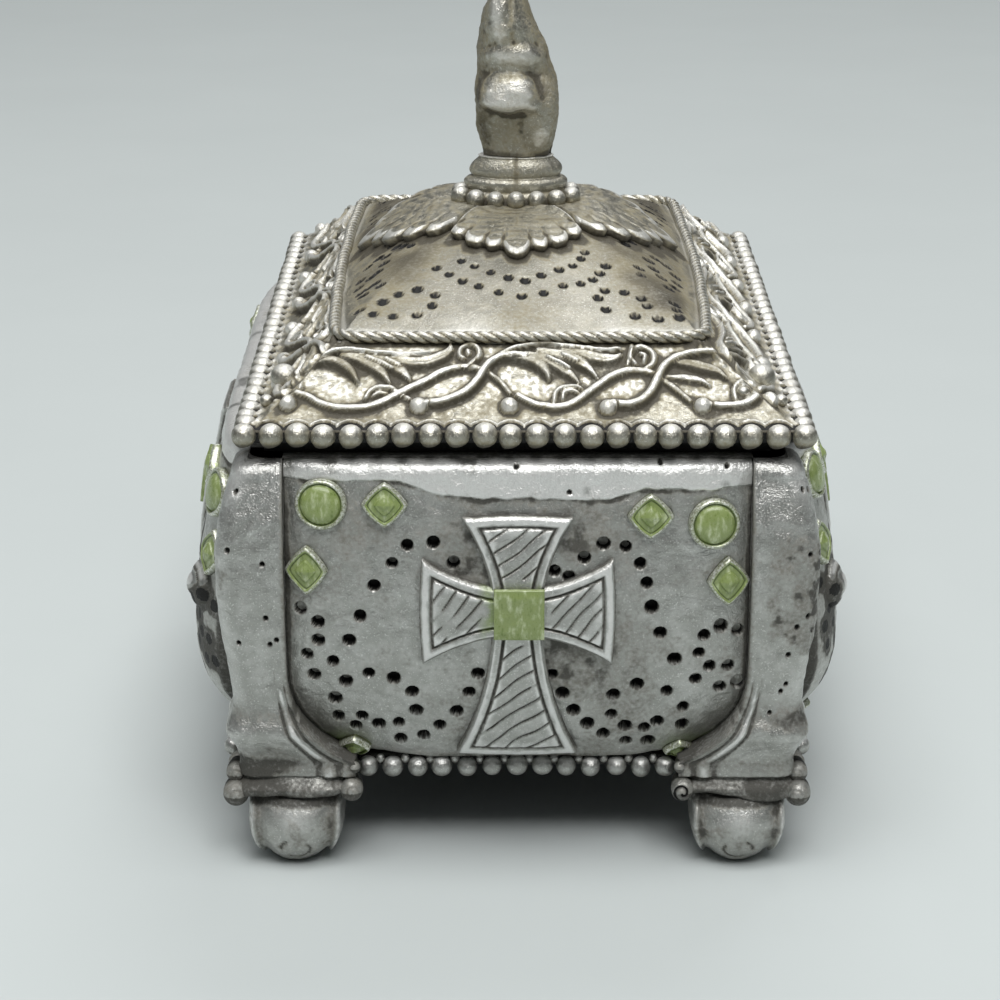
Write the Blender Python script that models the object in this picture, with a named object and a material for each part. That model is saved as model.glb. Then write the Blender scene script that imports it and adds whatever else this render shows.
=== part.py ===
"""Footed trinket box: a cast casket with bulging panels, corner legs and a lift-off domed lid.

Frame: metres, +Z up, origin on the table under the middle of the box.  The short ends face -Y
and +Y, the long sides face -X and +X.  The lid lifts straight up along +Z.
"""

import math

import bmesh
import bpy
import numpy as np

# Overall sizes of the lid's beaded rim, over the beads
RIM_WIDTH = 0.0760
RIM_LENGTH = 0.1080
RIM_OVERHANG = 0.0011
RIM_LIFT = 0.0031
RIM_BEAD_DIAMETER = 0.0033
RIM_BEAD_PITCH = 0.0034

# Clearances between neighbouring pieces
SEAT_GAP = 0.0003
LIP_CLEARANCE = 0.0006
PEG_CLEARANCE = 0.0003
OVERRUN = 0.0020
MERGE_DISTANCE = 0.0000001

# Scroll feet, and the brackets of the corner legs that stand on them
FOOT_HEIGHT = 0.0102
FOOT_RADIUS = 0.0065
FOOT_CENTRE_HEIGHT = 0.0060
FOOT_FROM_FLANK = 0.0085
FOOT_FROM_END = 0.0052
BRACKET_HEIGHT = 0.0034
BRACKET_WIDTH = 0.0165
BRACKET_FLANK_WIDTH = 0.0110
BRACKET_OUTSET = 0.0016
BRACKET_SWELL = 0.0006
BRACKET_NECK = 0.0010
VOLUTE_RADIUS = 0.0016
VOLUTE_RISE = 0.0012
VOLUTE_LENGTH = 0.0050
VOLUTE_OUTSET = 0.0005

# Box body
BODY_HEIGHT = 0.0435
SHOULDER_RISE = 0.0020
SHOULDER_ROUND = 0.0022
FLOOR_THICKNESS = 0.0046
BODY_WALL = 0.0054

# Bulging panels between the legs
PANEL_EDGE_MARGIN = 0.0064
PANEL_CORNER_RADIUS = 0.0140
END_BULGE = 0.0019
SIDE_BULGE = 0.0081
END_EDGE_DROP = 0.0016
SIDE_EDGE_DROP = 0.0048
EDGE_DROP_POWER = 8
SPAN_SHARES = (-1.0, -0.94, -0.84, -0.62, -0.30, 0.0, 0.30, 0.62, 0.84, 0.94, 1.0)

# Corner legs
LEG_OUTSET = 0.0028
LEG_THICKNESS = 0.0024
LEG_ROUND = 0.0026

# Ornament on the panels, with heights measured down from the body's top
CROSS_DROP = 0.0199
CROSS_HALF_SPAN = 0.0125
CROSS_TOP_ARM = 0.0128
CROSS_FOOT_ARM = 0.0217
CROSS_WAIST_HALF = 0.0032
CROSS_END_HALF = 0.0073
CROSS_FOOT_HALF = 0.0082
CROSS_THICKNESS = 0.0013
CROSS_STONE_HALF = 0.0035
CROSS_STONE_THICKNESS = 0.0011
GEM_THICKNESS = 0.0016
ROUND_GEM_RADIUS = 0.0033
ROUND_GEM_FROM_END = 0.0125
LEFT_ROUND_GEM_DROP = 0.0055
RIGHT_ROUND_GEM_DROP = 0.0081
DIAMOND_HALF_DIAGONAL = 0.0033
UPPER_DIAMOND_FROM_END = 0.0207
LEFT_UPPER_DIAMOND_DROP = 0.0055
RIGHT_UPPER_DIAMOND_DROP = 0.0070
LOWER_DIAMOND_FROM_END = 0.0105
LEFT_LOWER_DIAMOND_DROP = 0.0144
RIGHT_LOWER_DIAMOND_DROP = 0.0159

# Beaded apron under each panel
BASE_BEAD_DIAMETER = 0.0029
BASE_BEAD_PITCH = 0.0034
BASE_BEAD_INSET = 0.0006
APRON_DROP = 0.0010
APRON_THICKNESS = 0.0014

# Lid
LID_EDGE_THICKNESS = 0.0043
ROPE_INSET = 0.0140
ROPE_RISE = 0.0076
ROPE_DIAMETER = 0.0016
ROPE_LIFT_SHARE = 1.25
DOME_RISE = 0.0096
DOME_FULLNESS = 1.5
LID_WALL = 0.0034
LIP_DEPTH = 0.0025
LIP_WALL = 0.0020

# Vine relief on the lid's slopes
VINE_THICKNESS = 0.0011
VINE_STEM_HALF = 0.0010
VINE_LEAF_HALF = 0.0032
VINE_SWING = 0.0026
VINE_PERIOD = 0.0240
VINE_END_MARGIN = 0.0090

# Leaves on the dome
LEAF_THICKNESS = 0.0012
LEAF_LIFT = 0.0006

# Finial and its collar
COLLAR_MARGIN = 0.0007
COLLAR_DEPTH_SHARE = 0.55
COLLAR_RING_RADIUS = 0.0084
COLLAR_BEAD_RADIUS = 0.0012
COLLAR_LOWER_RADIUS = 0.0073
COLLAR_UPPER_RADIUS = 0.0065
COLLAR_NECK_RADIUS = 0.0056
COLLAR_NECK_HEIGHT = 0.0010
TIER_RADIUS = 0.0009
PEG_RADIUS = 0.0015
PEG_SOCKET_DEPTH = 0.0018
FINIAL_HEIGHT = 0.0314
FINIAL_HALF_DEPTH = 0.0061
FINIAL_HALF_SPREAD = 0.0056
PETAL_REACH = 0.0090
PETAL_HALF_WIDTH = 0.0042
PETAL_HALF_THICKNESS = 0.0023

# Sizes that follow from those above
SHOULDER_HALF_WIDTH = RIM_WIDTH / 2.0 - RIM_OVERHANG
SHOULDER_HALF_LENGTH = RIM_LENGTH / 2.0 - RIM_OVERHANG
CAVITY_HALF_WIDTH = SHOULDER_HALF_WIDTH - BODY_WALL
CAVITY_HALF_LENGTH = SHOULDER_HALF_LENGTH - BODY_WALL
BRACKET_BOTTOM = FOOT_HEIGHT + SEAT_GAP
BRACKET_TOP = BRACKET_BOTTOM + BRACKET_HEIGHT
BRACKET_OUTER = SHOULDER_HALF_WIDTH + BRACKET_OUTSET
BRACKET_END = SHOULDER_HALF_LENGTH + BRACKET_OUTSET
BRACKET_INNER = BRACKET_OUTER - BRACKET_WIDTH
BRACKET_FLANK_INNER = BRACKET_END - BRACKET_FLANK_WIDTH
BODY_BOTTOM = BRACKET_TOP + SEAT_GAP
BODY_TOP = BODY_BOTTOM + BODY_HEIGHT
SHOULDER_HEIGHT = BODY_TOP - SHOULDER_RISE
CROSS_CENTRE_HEIGHT = BODY_TOP - CROSS_DROP
LID_SEAT = BODY_TOP + SEAT_GAP
RIM_HEIGHT = LID_SEAT + RIM_LIFT
RIM_TO_EDGE = RIM_BEAD_DIAMETER + SEAT_GAP
SLOPE_FOOT = LID_SEAT + LID_EDGE_THICKNESS
ROPE_HEIGHT = SLOPE_FOOT + ROPE_RISE
DOME_TOP = ROPE_HEIGHT + DOME_RISE
COLLAR_SEAT_RADIUS = COLLAR_RING_RADIUS + COLLAR_BEAD_RADIUS + COLLAR_MARGIN
COLLAR_BASE = DOME_TOP + SEAT_GAP
LOWER_TIER_HEIGHT = COLLAR_BASE + COLLAR_BEAD_RADIUS * 2.0 + TIER_RADIUS
UPPER_TIER_HEIGHT = LOWER_TIER_HEIGHT + TIER_RADIUS * 2.0
COLLAR_TOP = UPPER_TIER_HEIGHT + TIER_RADIUS + COLLAR_NECK_HEIGHT
FINIAL_BASE = COLLAR_TOP + SEAT_GAP

# Curves given as shares: height share between the body's bottom and its shoulder, then the
# outset as a share of the size that the curve follows
LEG_SHARES = (
    (0.00, 0.23), (0.04, 0.25), (0.06, 0.32), (0.10, 0.61), (0.13, 0.84), (0.16, 0.74), (0.19, 0.54),
    (0.24, 0.46), (0.31, 0.52), (0.40, 0.68), (0.50, 0.89), (0.62, 1.00), (0.77, 0.96), (0.86, 0.75),
    (0.94, 0.46), (1.00, 0.14),
)
END_SHARES = (
    (0.00, -2.20), (0.02, -1.90), (0.06, -1.32), (0.10, -0.90), (0.14, -0.55), (0.20, -0.10),
    (0.28, 0.37), (0.38, 0.74), (0.50, 0.95), (0.63, 1.00), (0.77, 0.79), (0.89, 0.53), (1.00, 0.10),
)
SIDE_SHARES = (
    (0.00, 0.34), (0.02, 0.43), (0.06, 0.58), (0.10, 0.71), (0.14, 0.81), (0.20, 0.93),
    (0.28, 1.00), (0.38, 1.00), (0.50, 0.96), (0.63, 0.86), (0.77, 0.70), (0.89, 0.56), (1.00, 0.40),
)
# Lengthwise stations of a cross arm, and how far it has flared at each, as shares
ARM_SHARES = (
    (0.00, 0.00), (0.15, 0.02), (0.30, 0.09), (0.45, 0.20), (0.60, 0.36), (0.72, 0.52),
    (0.82, 0.67), (0.91, 0.83), (1.00, 1.00),
)
# Dome leaf: half width as a share of the dome's side, then rows of the share of the way up the
# dome with the share of the leaf's width there
END_LEAF_SHARES = (0.52, ((0.94, 0.80), (0.80, 1.00), (0.60, 0.90), (0.44, 0.35)))
SIDE_LEAF_SHARES = (0.33, ((0.94, 0.80), (0.70, 1.00), (0.40, 0.90), (0.12, 0.35)))
# Finial sections: height share from collar to tip, then half depth and half spread as shares
FINIAL_SHARES = (
    (0.00, 0.80, 0.50), (0.06, 0.84, 0.58), (0.17, 0.97, 0.78), (0.26, 1.00, 0.88),
    (0.36, 0.98, 0.84), (0.46, 0.90, 0.90), (0.58, 0.69, 1.00), (0.70, 0.48, 0.90),
    (0.83, 0.30, 0.60), (0.94, 0.15, 0.28), (1.00, 0.06, 0.08),
)
# Side petal: reach and height as shares, then its thickness as a share
PETAL_SHARES = (
    (0.30, 0.14, 0.80), (0.50, 0.25, 0.95), (0.76, 0.33, 1.00), (1.00, 0.32, 1.00),
    (1.08, 0.25, 0.85), (0.98, 0.19, 0.50),
)

END_FACES = ("front", "back")
FACES = ("front", "right", "back", "left")
CORNERS = (("front_left", -1, -1), ("front_right", 1, -1), ("back_right", 1, 1), ("back_left", -1, 1))
LID_NAMES = ("lid_", "rope_", "vine_", "dome_", "finial")
SIDE_POINTS = 8
GEM_SIDES = 14
TURNED_SIDES = 24
FOOT_SIDES = 20
TUBE_SIDES = 6
FINIAL_SIDES = 14
PETAL_SIDES = 10

SILVER_RESIN = ("antiqued_silver_resin", (0.33, 0.33, 0.31), 0.42, 0.55)
WARM_RESIN = ("warm_silver_resin", (0.29, 0.27, 0.23), 0.45, 0.55)
GREEN_ENAMEL = ("green_enamel", (0.26, 0.38, 0.08), 0.18, 0.0)


def clear_scene():
    """Remove every object of the opened scene."""
    for existing in list(bpy.data.objects):
        bpy.data.objects.remove(existing, do_unlink=True)


def finish_material(finish):
    """Return the Principled material of a finish, made once."""
    name, colour, roughness, metallic = finish
    material = bpy.data.materials.get(name)
    if material is None:
        material = bpy.data.materials.new(name)
        material.use_nodes = True
        shader = material.node_tree.nodes["Principled BSDF"]
        shader.inputs["Base Color"].default_value = (*colour, 1.0)
        shader.inputs["Roughness"].default_value = roughness
        shader.inputs["Metallic"].default_value = metallic
    return material


def mesh_object(name, points, faces, finish, smooth_angle=40.0):
    """Make one closed object from points and faces, with its normals turned outward."""
    mesh = bpy.data.meshes.new(name)
    mesh.from_pydata([tuple(map(float, point)) for point in points], [], faces)
    work = bmesh.new()
    work.from_mesh(mesh)
    bmesh.ops.recalc_face_normals(work, faces=work.faces)
    work.to_mesh(mesh)
    work.free()
    mesh.shade_smooth()
    mesh.set_sharp_from_angle(angle=math.radians(smooth_angle))
    mesh.materials.append(finish_material(finish))
    made = bpy.data.objects.new(name, mesh)
    bpy.context.scene.collection.objects.link(made)
    return made


def on_face(made, face):
    """Turn an object that was built for the front to its own face of the box."""
    made.rotation_euler.z = math.radians(90.0) * FACES.index(face)
    return made


def turned_object(name, profile, sides, finish):
    """Turn a profile of (radius, height) points about Z into one closed object."""
    work = bmesh.new()
    corners = [work.verts.new((radius, 0.0, height)) for radius, height in profile]
    edges = [work.edges.new((corners[i - 1], corner)) for i, corner in enumerate(corners)]
    bmesh.ops.spin(work, geom=corners + edges, axis=(0.0, 0.0, 1.0), cent=(0.0, 0.0, 0.0),
                   steps=sides, angle=math.radians(360.0))
    bmesh.ops.remove_doubles(work, verts=work.verts, dist=MERGE_DISTANCE)
    points = [corner.co[:] for corner in work.verts]
    faces = [[corner.index for corner in face.verts] for face in work.faces]
    work.free()
    return mesh_object(name, points, faces, finish)


def as_guide(made):
    """Mark an object as a Boolean operand that is not a piece of the box."""
    made.hide_render = True
    made.display_type = "WIRE"
    return made


def boolean(target, guide, operation):
    """Join or cut the target with a guide object."""
    modifier = target.modifiers.new(guide.name, "BOOLEAN")
    modifier.operation = operation
    modifier.solver = "EXACT"
    modifier.object = as_guide(guide)


def loft(rings):
    """Join rings of equal point counts into one closed skin with a flat cap at each end."""
    count = len(rings[0])
    points = np.vstack(rings)
    faces = []
    for level in range(len(rings) - 1):
        low = level * count
        high = low + count
        for i in range(count):
            j = (i + 1) % count
            faces.append((low + i, low + j, high + j, high + i))
    faces.append(tuple(reversed(range(count))))
    faces.append(tuple(range((len(rings) - 1) * count, len(rings) * count)))
    return points, faces


def loop_tube(path, radii, sides):
    """Return a closed ring of tube that follows a level closed path with a radius at each point."""
    count = len(path)
    ahead = np.roll(path, -1, axis=0) - np.roll(path, 1, axis=0)
    ahead /= np.linalg.norm(ahead, axis=1)[:, None]
    up = np.array((0.0, 0.0, 1.0))
    across = np.cross(ahead, up)
    points = []
    for i in range(count):
        for k in range(sides):
            angle = math.radians(360.0) * k / sides
            offset = across[i] * math.cos(angle) + up * math.sin(angle)
            points.append(path[i] + offset * radii[i])
    faces = []
    for i in range(count):
        for k in range(sides):
            j = (i + 1) % count
            m = (k + 1) % sides
            faces.append((i * sides + k, i * sides + m, j * sides + m, j * sides + k))
    return np.array(points), faces


def level_ring(half_width, half_length, height):
    """Return a level oval of points about the box's middle."""
    angles = math.radians(360.0) * np.arange(FINIAL_SIDES) / FINIAL_SIDES
    return np.column_stack((half_width * np.cos(angles), half_length * np.sin(angles),
                            np.full(FINIAL_SIDES, height)))


# Box body and the surface of its panels

def share_height(share):
    """Height of a share between the body's bottom and its shoulder."""
    return BODY_BOTTOM + share * (SHOULDER_HEIGHT - BODY_BOTTOM)


def curve_outset(shares, size, height):
    """Outset that a share curve gives at a height."""
    share = (height - BODY_BOTTOM) / (SHOULDER_HEIGHT - BODY_BOTTOM)
    return size * float(np.interp(share, [s for s, _ in shares], [o for _, o in shares]))


def leg_outset(height):
    """How far the corner legs stand out from the shoulder's size at a height."""
    return curve_outset(LEG_SHARES, LEG_OUTSET, height)


def face_sizes(face):
    """Half span and distance from the middle of a face, at the shoulder."""
    if face in END_FACES:
        return SHOULDER_HALF_WIDTH, SHOULDER_HALF_LENGTH
    return SHOULDER_HALF_LENGTH, SHOULDER_HALF_WIDTH


def panel_half_span(face, height):
    """Half width of a panel at a height; its lower corners are rounded."""
    half = face_sizes(face)[0] - PANEL_EDGE_MARGIN
    below = max(0.0, BODY_BOTTOM + PANEL_CORNER_RADIUS - height)
    below = min(below, PANEL_CORNER_RADIUS)
    return half - PANEL_CORNER_RADIUS + math.sqrt(PANEL_CORNER_RADIUS ** 2 - below ** 2)


def panel_distance(face, along, height):
    """Distance of the panel's surface from the middle plane of the box."""
    if face in END_FACES:
        bulge = curve_outset(END_SHARES, END_BULGE, height)
        drop = END_EDGE_DROP
    else:
        bulge = curve_outset(SIDE_SHARES, SIDE_BULGE, height)
        drop = SIDE_EDGE_DROP
    share = min(1.0, abs(along) / panel_half_span(face, height))
    return face_sizes(face)[1] + bulge - drop * share ** EDGE_DROP_POWER


def face_point(along, distance, height):
    """Point on the front: along it to the right, out from the middle and up."""
    return np.array((along, -distance, height))


def panel_point(face, along, height):
    """Point on a panel's surface, in the front's place."""
    return face_point(along, panel_distance(face, along, height), height)


def panel_normal(face, along, height):
    """Outward unit normal of the panel's smooth surface."""
    step = SEAT_GAP
    ahead = panel_point(face, along + step, height) - panel_point(face, along - step, height)
    upward = panel_point(face, along, height + step) - panel_point(face, along, height - step)
    normal = np.cross(ahead, upward)
    return normal / np.linalg.norm(normal)


def leg_recess(face, height):
    """Distance of the recess behind the legs; it stays behind the panel's edge as that curls in."""
    behind_leg = face_sizes(face)[1] + leg_outset(height) - LEG_THICKNESS - SEAT_GAP
    behind_panel = panel_distance(face, panel_half_span(face, height), height) - SEAT_GAP
    return min(behind_leg, behind_panel)


def body_section(height):
    """Outline of the body at a height: four panels with a stepped recess for each leg."""
    points = []
    for turns, face in enumerate(FACES):
        panel = panel_half_span(face, height)
        recess = leg_recess(face, height)
        beside = leg_recess("right" if face in END_FACES else "front", height)
        side = [face_point(-beside, recess, height), face_point(-panel, recess, height)]
        side += [panel_point(face, share * panel, height) for share in SPAN_SHARES]
        side.append(face_point(panel, recess, height))
        for point in side:
            for _ in range(turns):
                point = np.array((-point[1], point[0], point[2]))
            points.append(point)
    return np.array(points)


def shoulder_section(inset, height):
    """The shoulder's outline drawn in by the rounding of its top edge."""
    ring = body_section(SHOULDER_HEIGHT)
    scale_x = 1.0 - inset / SHOULDER_HALF_WIDTH
    scale_y = 1.0 - inset / SHOULDER_HALF_LENGTH
    return ring * (scale_x, scale_y, 0.0) + (0.0, 0.0, height)


def make_box_body():
    """Hollow casting with four bulging panels, a floor and an open top."""
    rings = [body_section(share_height(share)) for share, _ in LEG_SHARES]
    rise = BODY_TOP - SHOULDER_HEIGHT
    for turn in (30.0, 60.0, 90.0):
        angle = math.radians(turn)
        inset = SHOULDER_ROUND * (1.0 - math.cos(angle))
        rings.append(shoulder_section(inset, SHOULDER_HEIGHT + rise * math.sin(angle)))
    body = mesh_object("box_body", *loft(rings), SILVER_RESIN)
    boolean(body, make_cavity(), "DIFFERENCE")


def make_cavity():
    """Cutter for the inside of the box, open at the top."""
    rings = [blended_ring(CAVITY_HALF_WIDTH, CAVITY_HALF_LENGTH, height, 0.0)
             for height in (BODY_BOTTOM + FLOOR_THICKNESS, BODY_TOP + OVERRUN)]
    return mesh_object("cavity_cutter", *loft(rings), SILVER_RESIN)


# Corner legs and feet

def leg_edge(face, height):
    """Inner edge of a leg: beside the panel, and no further in than the bracket at its bottom."""
    edge = panel_half_span(face, height) + SEAT_GAP
    if height > BODY_BOTTOM:
        return edge
    return max(edge, BRACKET_INNER if face in END_FACES else BRACKET_FLANK_INNER)


def leg_section(sign_x, sign_y, height):
    """L-shaped outline that wraps one corner of the box, rounded at its outer edge."""
    outset = leg_outset(height)
    far_x = SHOULDER_HALF_WIDTH + outset
    far_y = SHOULDER_HALF_LENGTH + outset
    edge_x = leg_edge("front", height)
    edge_y = leg_edge("right", height)
    inner_x = leg_recess("right", height) + SEAT_GAP
    inner_y = leg_recess("front", height) + SEAT_GAP
    outline = [(edge_x, inner_y), (edge_x, far_y)]
    for turn in (0.0, 22.5, 45.0, 67.5, 90.0):
        angle = math.radians(90.0 - turn)
        outline.append((far_x - LEG_ROUND + LEG_ROUND * math.cos(angle),
                        far_y - LEG_ROUND + LEG_ROUND * math.sin(angle)))
    outline += [(far_x, edge_y), (inner_x, edge_y), (inner_x, inner_y)]
    return np.array([(sign_x * x, sign_y * y, height) for x, y in outline])


def bracket_block(sign_x, sign_y):
    """Moulded block under the body's corner that carries the leg on its foot."""
    levels = ((0.0, 0.0), (0.2, BRACKET_SWELL), (0.7, BRACKET_SWELL), (1.0, -BRACKET_NECK))
    rings = []
    for share, outset in levels:
        far_x = BRACKET_OUTER + outset
        far_y = BRACKET_END + outset
        height = BRACKET_BOTTOM + BRACKET_HEIGHT * share
        corners = ((BRACKET_INNER, BRACKET_FLANK_INNER), (far_x, BRACKET_FLANK_INNER),
                   (far_x, far_y), (BRACKET_INNER, far_y))
        rings.append(np.array([(sign_x * x, sign_y * y, height) for x, y in corners]))
    return rings


def volute(name, centre, axis):
    """Short roll of a scroll, its axis level along X or Y."""
    half = VOLUTE_LENGTH / 2.0
    profile = [(0.0, -half), (VOLUTE_RADIUS, -half), (VOLUTE_RADIUS, half), (0.0, half)]
    roll = turned_object(name, profile, FOOT_SIDES, SILVER_RESIN)
    roll.location = centre
    roll.rotation_euler = (math.radians(90.0), 0.0, math.radians(90.0 if axis == "x" else 0.0))
    return roll


def make_corner_leg(name, sign_x, sign_y):
    """Flared pilaster, its bracket and the volutes at the bracket's ends, as one casting."""
    heights = [BRACKET_TOP - SEAT_GAP] + [share_height(share) for share, _ in LEG_SHARES]
    rings = [leg_section(sign_x, sign_y, height) for height in heights]
    leg = mesh_object(f"corner_leg_{name}", *loft(rings), SILVER_RESIN)
    block = mesh_object(f"{name}_bracket_guide", *loft(bracket_block(sign_x, sign_y)), SILVER_RESIN)
    boolean(leg, block, "UNION")
    reach = BRACKET_SWELL + VOLUTE_OUTSET - VOLUTE_LENGTH / 2.0
    height = BRACKET_BOTTOM + VOLUTE_RISE
    places = (
        ("end", BRACKET_INNER, BRACKET_END + reach, "y"),
        ("flank", BRACKET_OUTER + reach, BRACKET_FLANK_INNER + VOLUTE_RADIUS, "x"),
    )
    for label, x, y, axis in places:
        centre = (sign_x * x, sign_y * y, height)
        boolean(leg, volute(f"{name}_{label}_volute_guide", centre, axis), "UNION")


def make_scroll_foot(name, sign_x, sign_y):
    """Rolled foot: a ball cut flat where it stands and where the bracket rests on it."""
    lowest = math.asin(-FOOT_CENTRE_HEIGHT / FOOT_RADIUS)
    highest = math.asin((FOOT_HEIGHT - FOOT_CENTRE_HEIGHT) / FOOT_RADIUS)
    profile = [(0.0, 0.0)]
    for angle in np.linspace(lowest, highest, SIDE_POINTS):
        profile.append((FOOT_RADIUS * math.cos(angle),
                        FOOT_CENTRE_HEIGHT + FOOT_RADIUS * math.sin(angle)))
    profile.append((0.0, FOOT_HEIGHT))
    foot = turned_object(f"scroll_foot_{name}", profile, FOOT_SIDES, SILVER_RESIN)
    foot.location = (sign_x * (BRACKET_OUTER - FOOT_FROM_FLANK),
                     sign_y * (BRACKET_END - FOOT_FROM_END), 0.0)


# Ornament plates that follow a panel

def plate_on_panel(name, face, cells, back, front, finish):
    """Solid plate over a flat mesh of cells, bent to follow the panel.

    The cells are lists of (along, height) corners.  The plate's back lies one seat gap plus
    `back` off the panel and its front at the height that `front` gives for each point.
    """
    index = {}
    flat = []
    faces = []
    for cell in cells:
        ids = []
        for along, height in cell:
            key = (round(along / OVERRUN, 4), round(height / OVERRUN, 4))
            if key not in index:
                index[key] = len(flat)
                flat.append((along, height))
            ids.append(index[key])
        faces.append(tuple(ids))
    count = len(flat)
    points = []
    for rise in (lambda a, h: SEAT_GAP + back, front):
        for along, height in flat:
            lift = panel_normal(face, along, height) * rise(along, height)
            points.append(panel_point(face, along, height) + lift)
    edges = {}
    for ids in faces:
        for i, first in enumerate(ids):
            second = ids[(i + 1) % len(ids)]
            edges[(first, second)] = edges.get((first, second), 0) + 1
    solid = [tuple(reversed(ids)) for ids in faces]
    solid += [tuple(i + count for i in ids) for ids in faces]
    for first, second in edges:
        if (second, first) not in edges:
            solid.append((first, second, second + count, first + count))
    return on_face(mesh_object(name, points, solid, finish), face)


def grid_cells(corner):
    """Cells of a grid of (along, height) points given as rows of equal length."""
    cells = []
    for row in range(len(corner) - 1):
        for column in range(len(corner[0]) - 1):
            cells.append((corner[row][column], corner[row][column + 1],
                          corner[row + 1][column + 1], corner[row + 1][column]))
    return cells


def cross_cells():
    """Cells of a cross with four flared arms round a square middle."""
    cells = []
    waist = CROSS_WAIST_HALF
    across = (-1.0, -0.5, 0.0, 0.5, 1.0)
    arms = (
        (CROSS_TOP_ARM, CROSS_END_HALF, lambda s, t: (t, CROSS_CENTRE_HEIGHT + s)),
        (CROSS_FOOT_ARM, CROSS_FOOT_HALF, lambda s, t: (-t, CROSS_CENTRE_HEIGHT - s)),
        (CROSS_HALF_SPAN, CROSS_END_HALF, lambda s, t: (s, CROSS_CENTRE_HEIGHT - t)),
        (CROSS_HALF_SPAN, CROSS_END_HALF, lambda s, t: (-s, CROSS_CENTRE_HEIGHT + t)),
    )
    for reach, end_half, place in arms:
        rows = []
        for station, flare in ARM_SHARES:
            half = waist + (end_half - waist) * flare
            rows.append([place(waist + station * (reach - waist), side * half) for side in across])
        cells += grid_cells(rows)
    middle = [[(waist * u, CROSS_CENTRE_HEIGHT + waist * v) for u in across] for v in across]
    return cells + grid_cells(middle)


def turned_the_same_way(cells):
    """Give every cell the same turning direction."""
    fixed = []
    for cell in cells:
        area = 0.0
        for i, first in enumerate(cell):
            second = cell[(i + 1) % len(cell)]
            area += first[0] * second[1] - second[0] * first[1]
        fixed.append(tuple(cell) if area > 0.0 else tuple(reversed(cell)))
    return fixed


def make_cross(face):
    """Flat cross with flared arms and the square stone on its middle."""
    top = SEAT_GAP + CROSS_THICKNESS
    plate_on_panel(f"cross_{face}", face, turned_the_same_way(cross_cells()), 0.0,
                   lambda along, height: top, SILVER_RESIN)
    half = CROSS_STONE_HALF
    corners = [[(half * u, CROSS_CENTRE_HEIGHT + half * v) for u in (-1.0, 0.0, 1.0)]
               for v in (-1.0, 0.0, 1.0)]
    plate_on_panel(f"cross_stone_{face}", face, turned_the_same_way(grid_cells(corners)), top,
                   lambda along, height: top + SEAT_GAP + CROSS_STONE_THICKNESS, GREEN_ENAMEL)


def make_round_gem(face, label, along, height):
    """Domed round stone in its bezel."""
    rings = []
    for share in (0.45, 1.0):
        radius = share * ROUND_GEM_RADIUS
        angles = [math.radians(360.0) * k / GEM_SIDES for k in range(GEM_SIDES)]
        rings.append([(along + radius * math.cos(angle), height + radius * math.sin(angle))
                      for angle in angles])
    cells = [tuple(rings[0])]
    for k in range(GEM_SIDES):
        m = (k + 1) % GEM_SIDES
        cells.append((rings[0][k], rings[1][k], rings[1][m], rings[0][m]))

    def crown(a, h):
        share = min(1.0, math.hypot(a - along, h - height) / ROUND_GEM_RADIUS)
        return SEAT_GAP + GEM_THICKNESS * (1.0 - share ** 2 / 2.0)

    plate_on_panel(f"round_gem_{face}_{label}", face, turned_the_same_way(cells), 0.0, crown,
                   GREEN_ENAMEL)


def make_diamond_gem(face, label, along, height):
    """Pyramid-cut diamond stone."""
    half = DIAMOND_HALF_DIAGONAL
    middle = (along, height)
    tips = ((along + half, height), (along, height + half), (along - half, height),
            (along, height - half))
    cells = [(middle, tips[k], tips[(k + 1) % 4]) for k in range(4)]

    def crown(a, h):
        share = (abs(a - along) + abs(h - height)) / half
        return SEAT_GAP + GEM_THICKNESS * (1.0 - share / 2.0)

    plate_on_panel(f"diamond_gem_{face}_{label}", face, turned_the_same_way(cells), 0.0, crown,
                   GREEN_ENAMEL)


def make_panel_gems(face):
    """Stones in the upper corners of a panel; the right ones were set lower than the left."""
    half = RIM_WIDTH / 2.0 if face in END_FACES else RIM_LENGTH / 2.0
    sides = (
        ("left", -1, LEFT_ROUND_GEM_DROP, LEFT_UPPER_DIAMOND_DROP, LEFT_LOWER_DIAMOND_DROP),
        ("right", 1, RIGHT_ROUND_GEM_DROP, RIGHT_UPPER_DIAMOND_DROP, RIGHT_LOWER_DIAMOND_DROP),
    )
    for label, sign, round_drop, upper_drop, lower_drop in sides:
        make_round_gem(face, label, sign * (half - ROUND_GEM_FROM_END), BODY_TOP - round_drop)
        make_diamond_gem(face, f"upper_{label}", sign * (half - UPPER_DIAMOND_FROM_END),
                         BODY_TOP - upper_drop)
        make_diamond_gem(face, f"lower_{label}", sign * (half - LOWER_DIAMOND_FROM_END),
                         BODY_TOP - lower_drop)


def bead_stations(length, pitch):
    """Places of bead waists and middles along a length, with which of the two each is."""
    count = max(1, round(length / pitch))
    stations = []
    for i in range(2 * count + 1):
        stations.append((length * i / (2 * count), i % 2 == 1))
    return stations


def bead_row(half, distance, height):
    """Sections of a straight row of beads, thin at each waist."""
    rings = []
    for along, is_middle in bead_stations(2.0 * half, BASE_BEAD_PITCH):
        size = BASE_BEAD_DIAMETER / (2.0 if is_middle else 4.0)
        ring = []
        for k in range(TUBE_SIDES):
            angle = math.radians(360.0) * k / TUBE_SIDES
            ring.append(face_point(along - half, distance + size * math.cos(angle),
                                   height + size * math.sin(angle)))
        rings.append(np.array(ring))
    return rings


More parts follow.
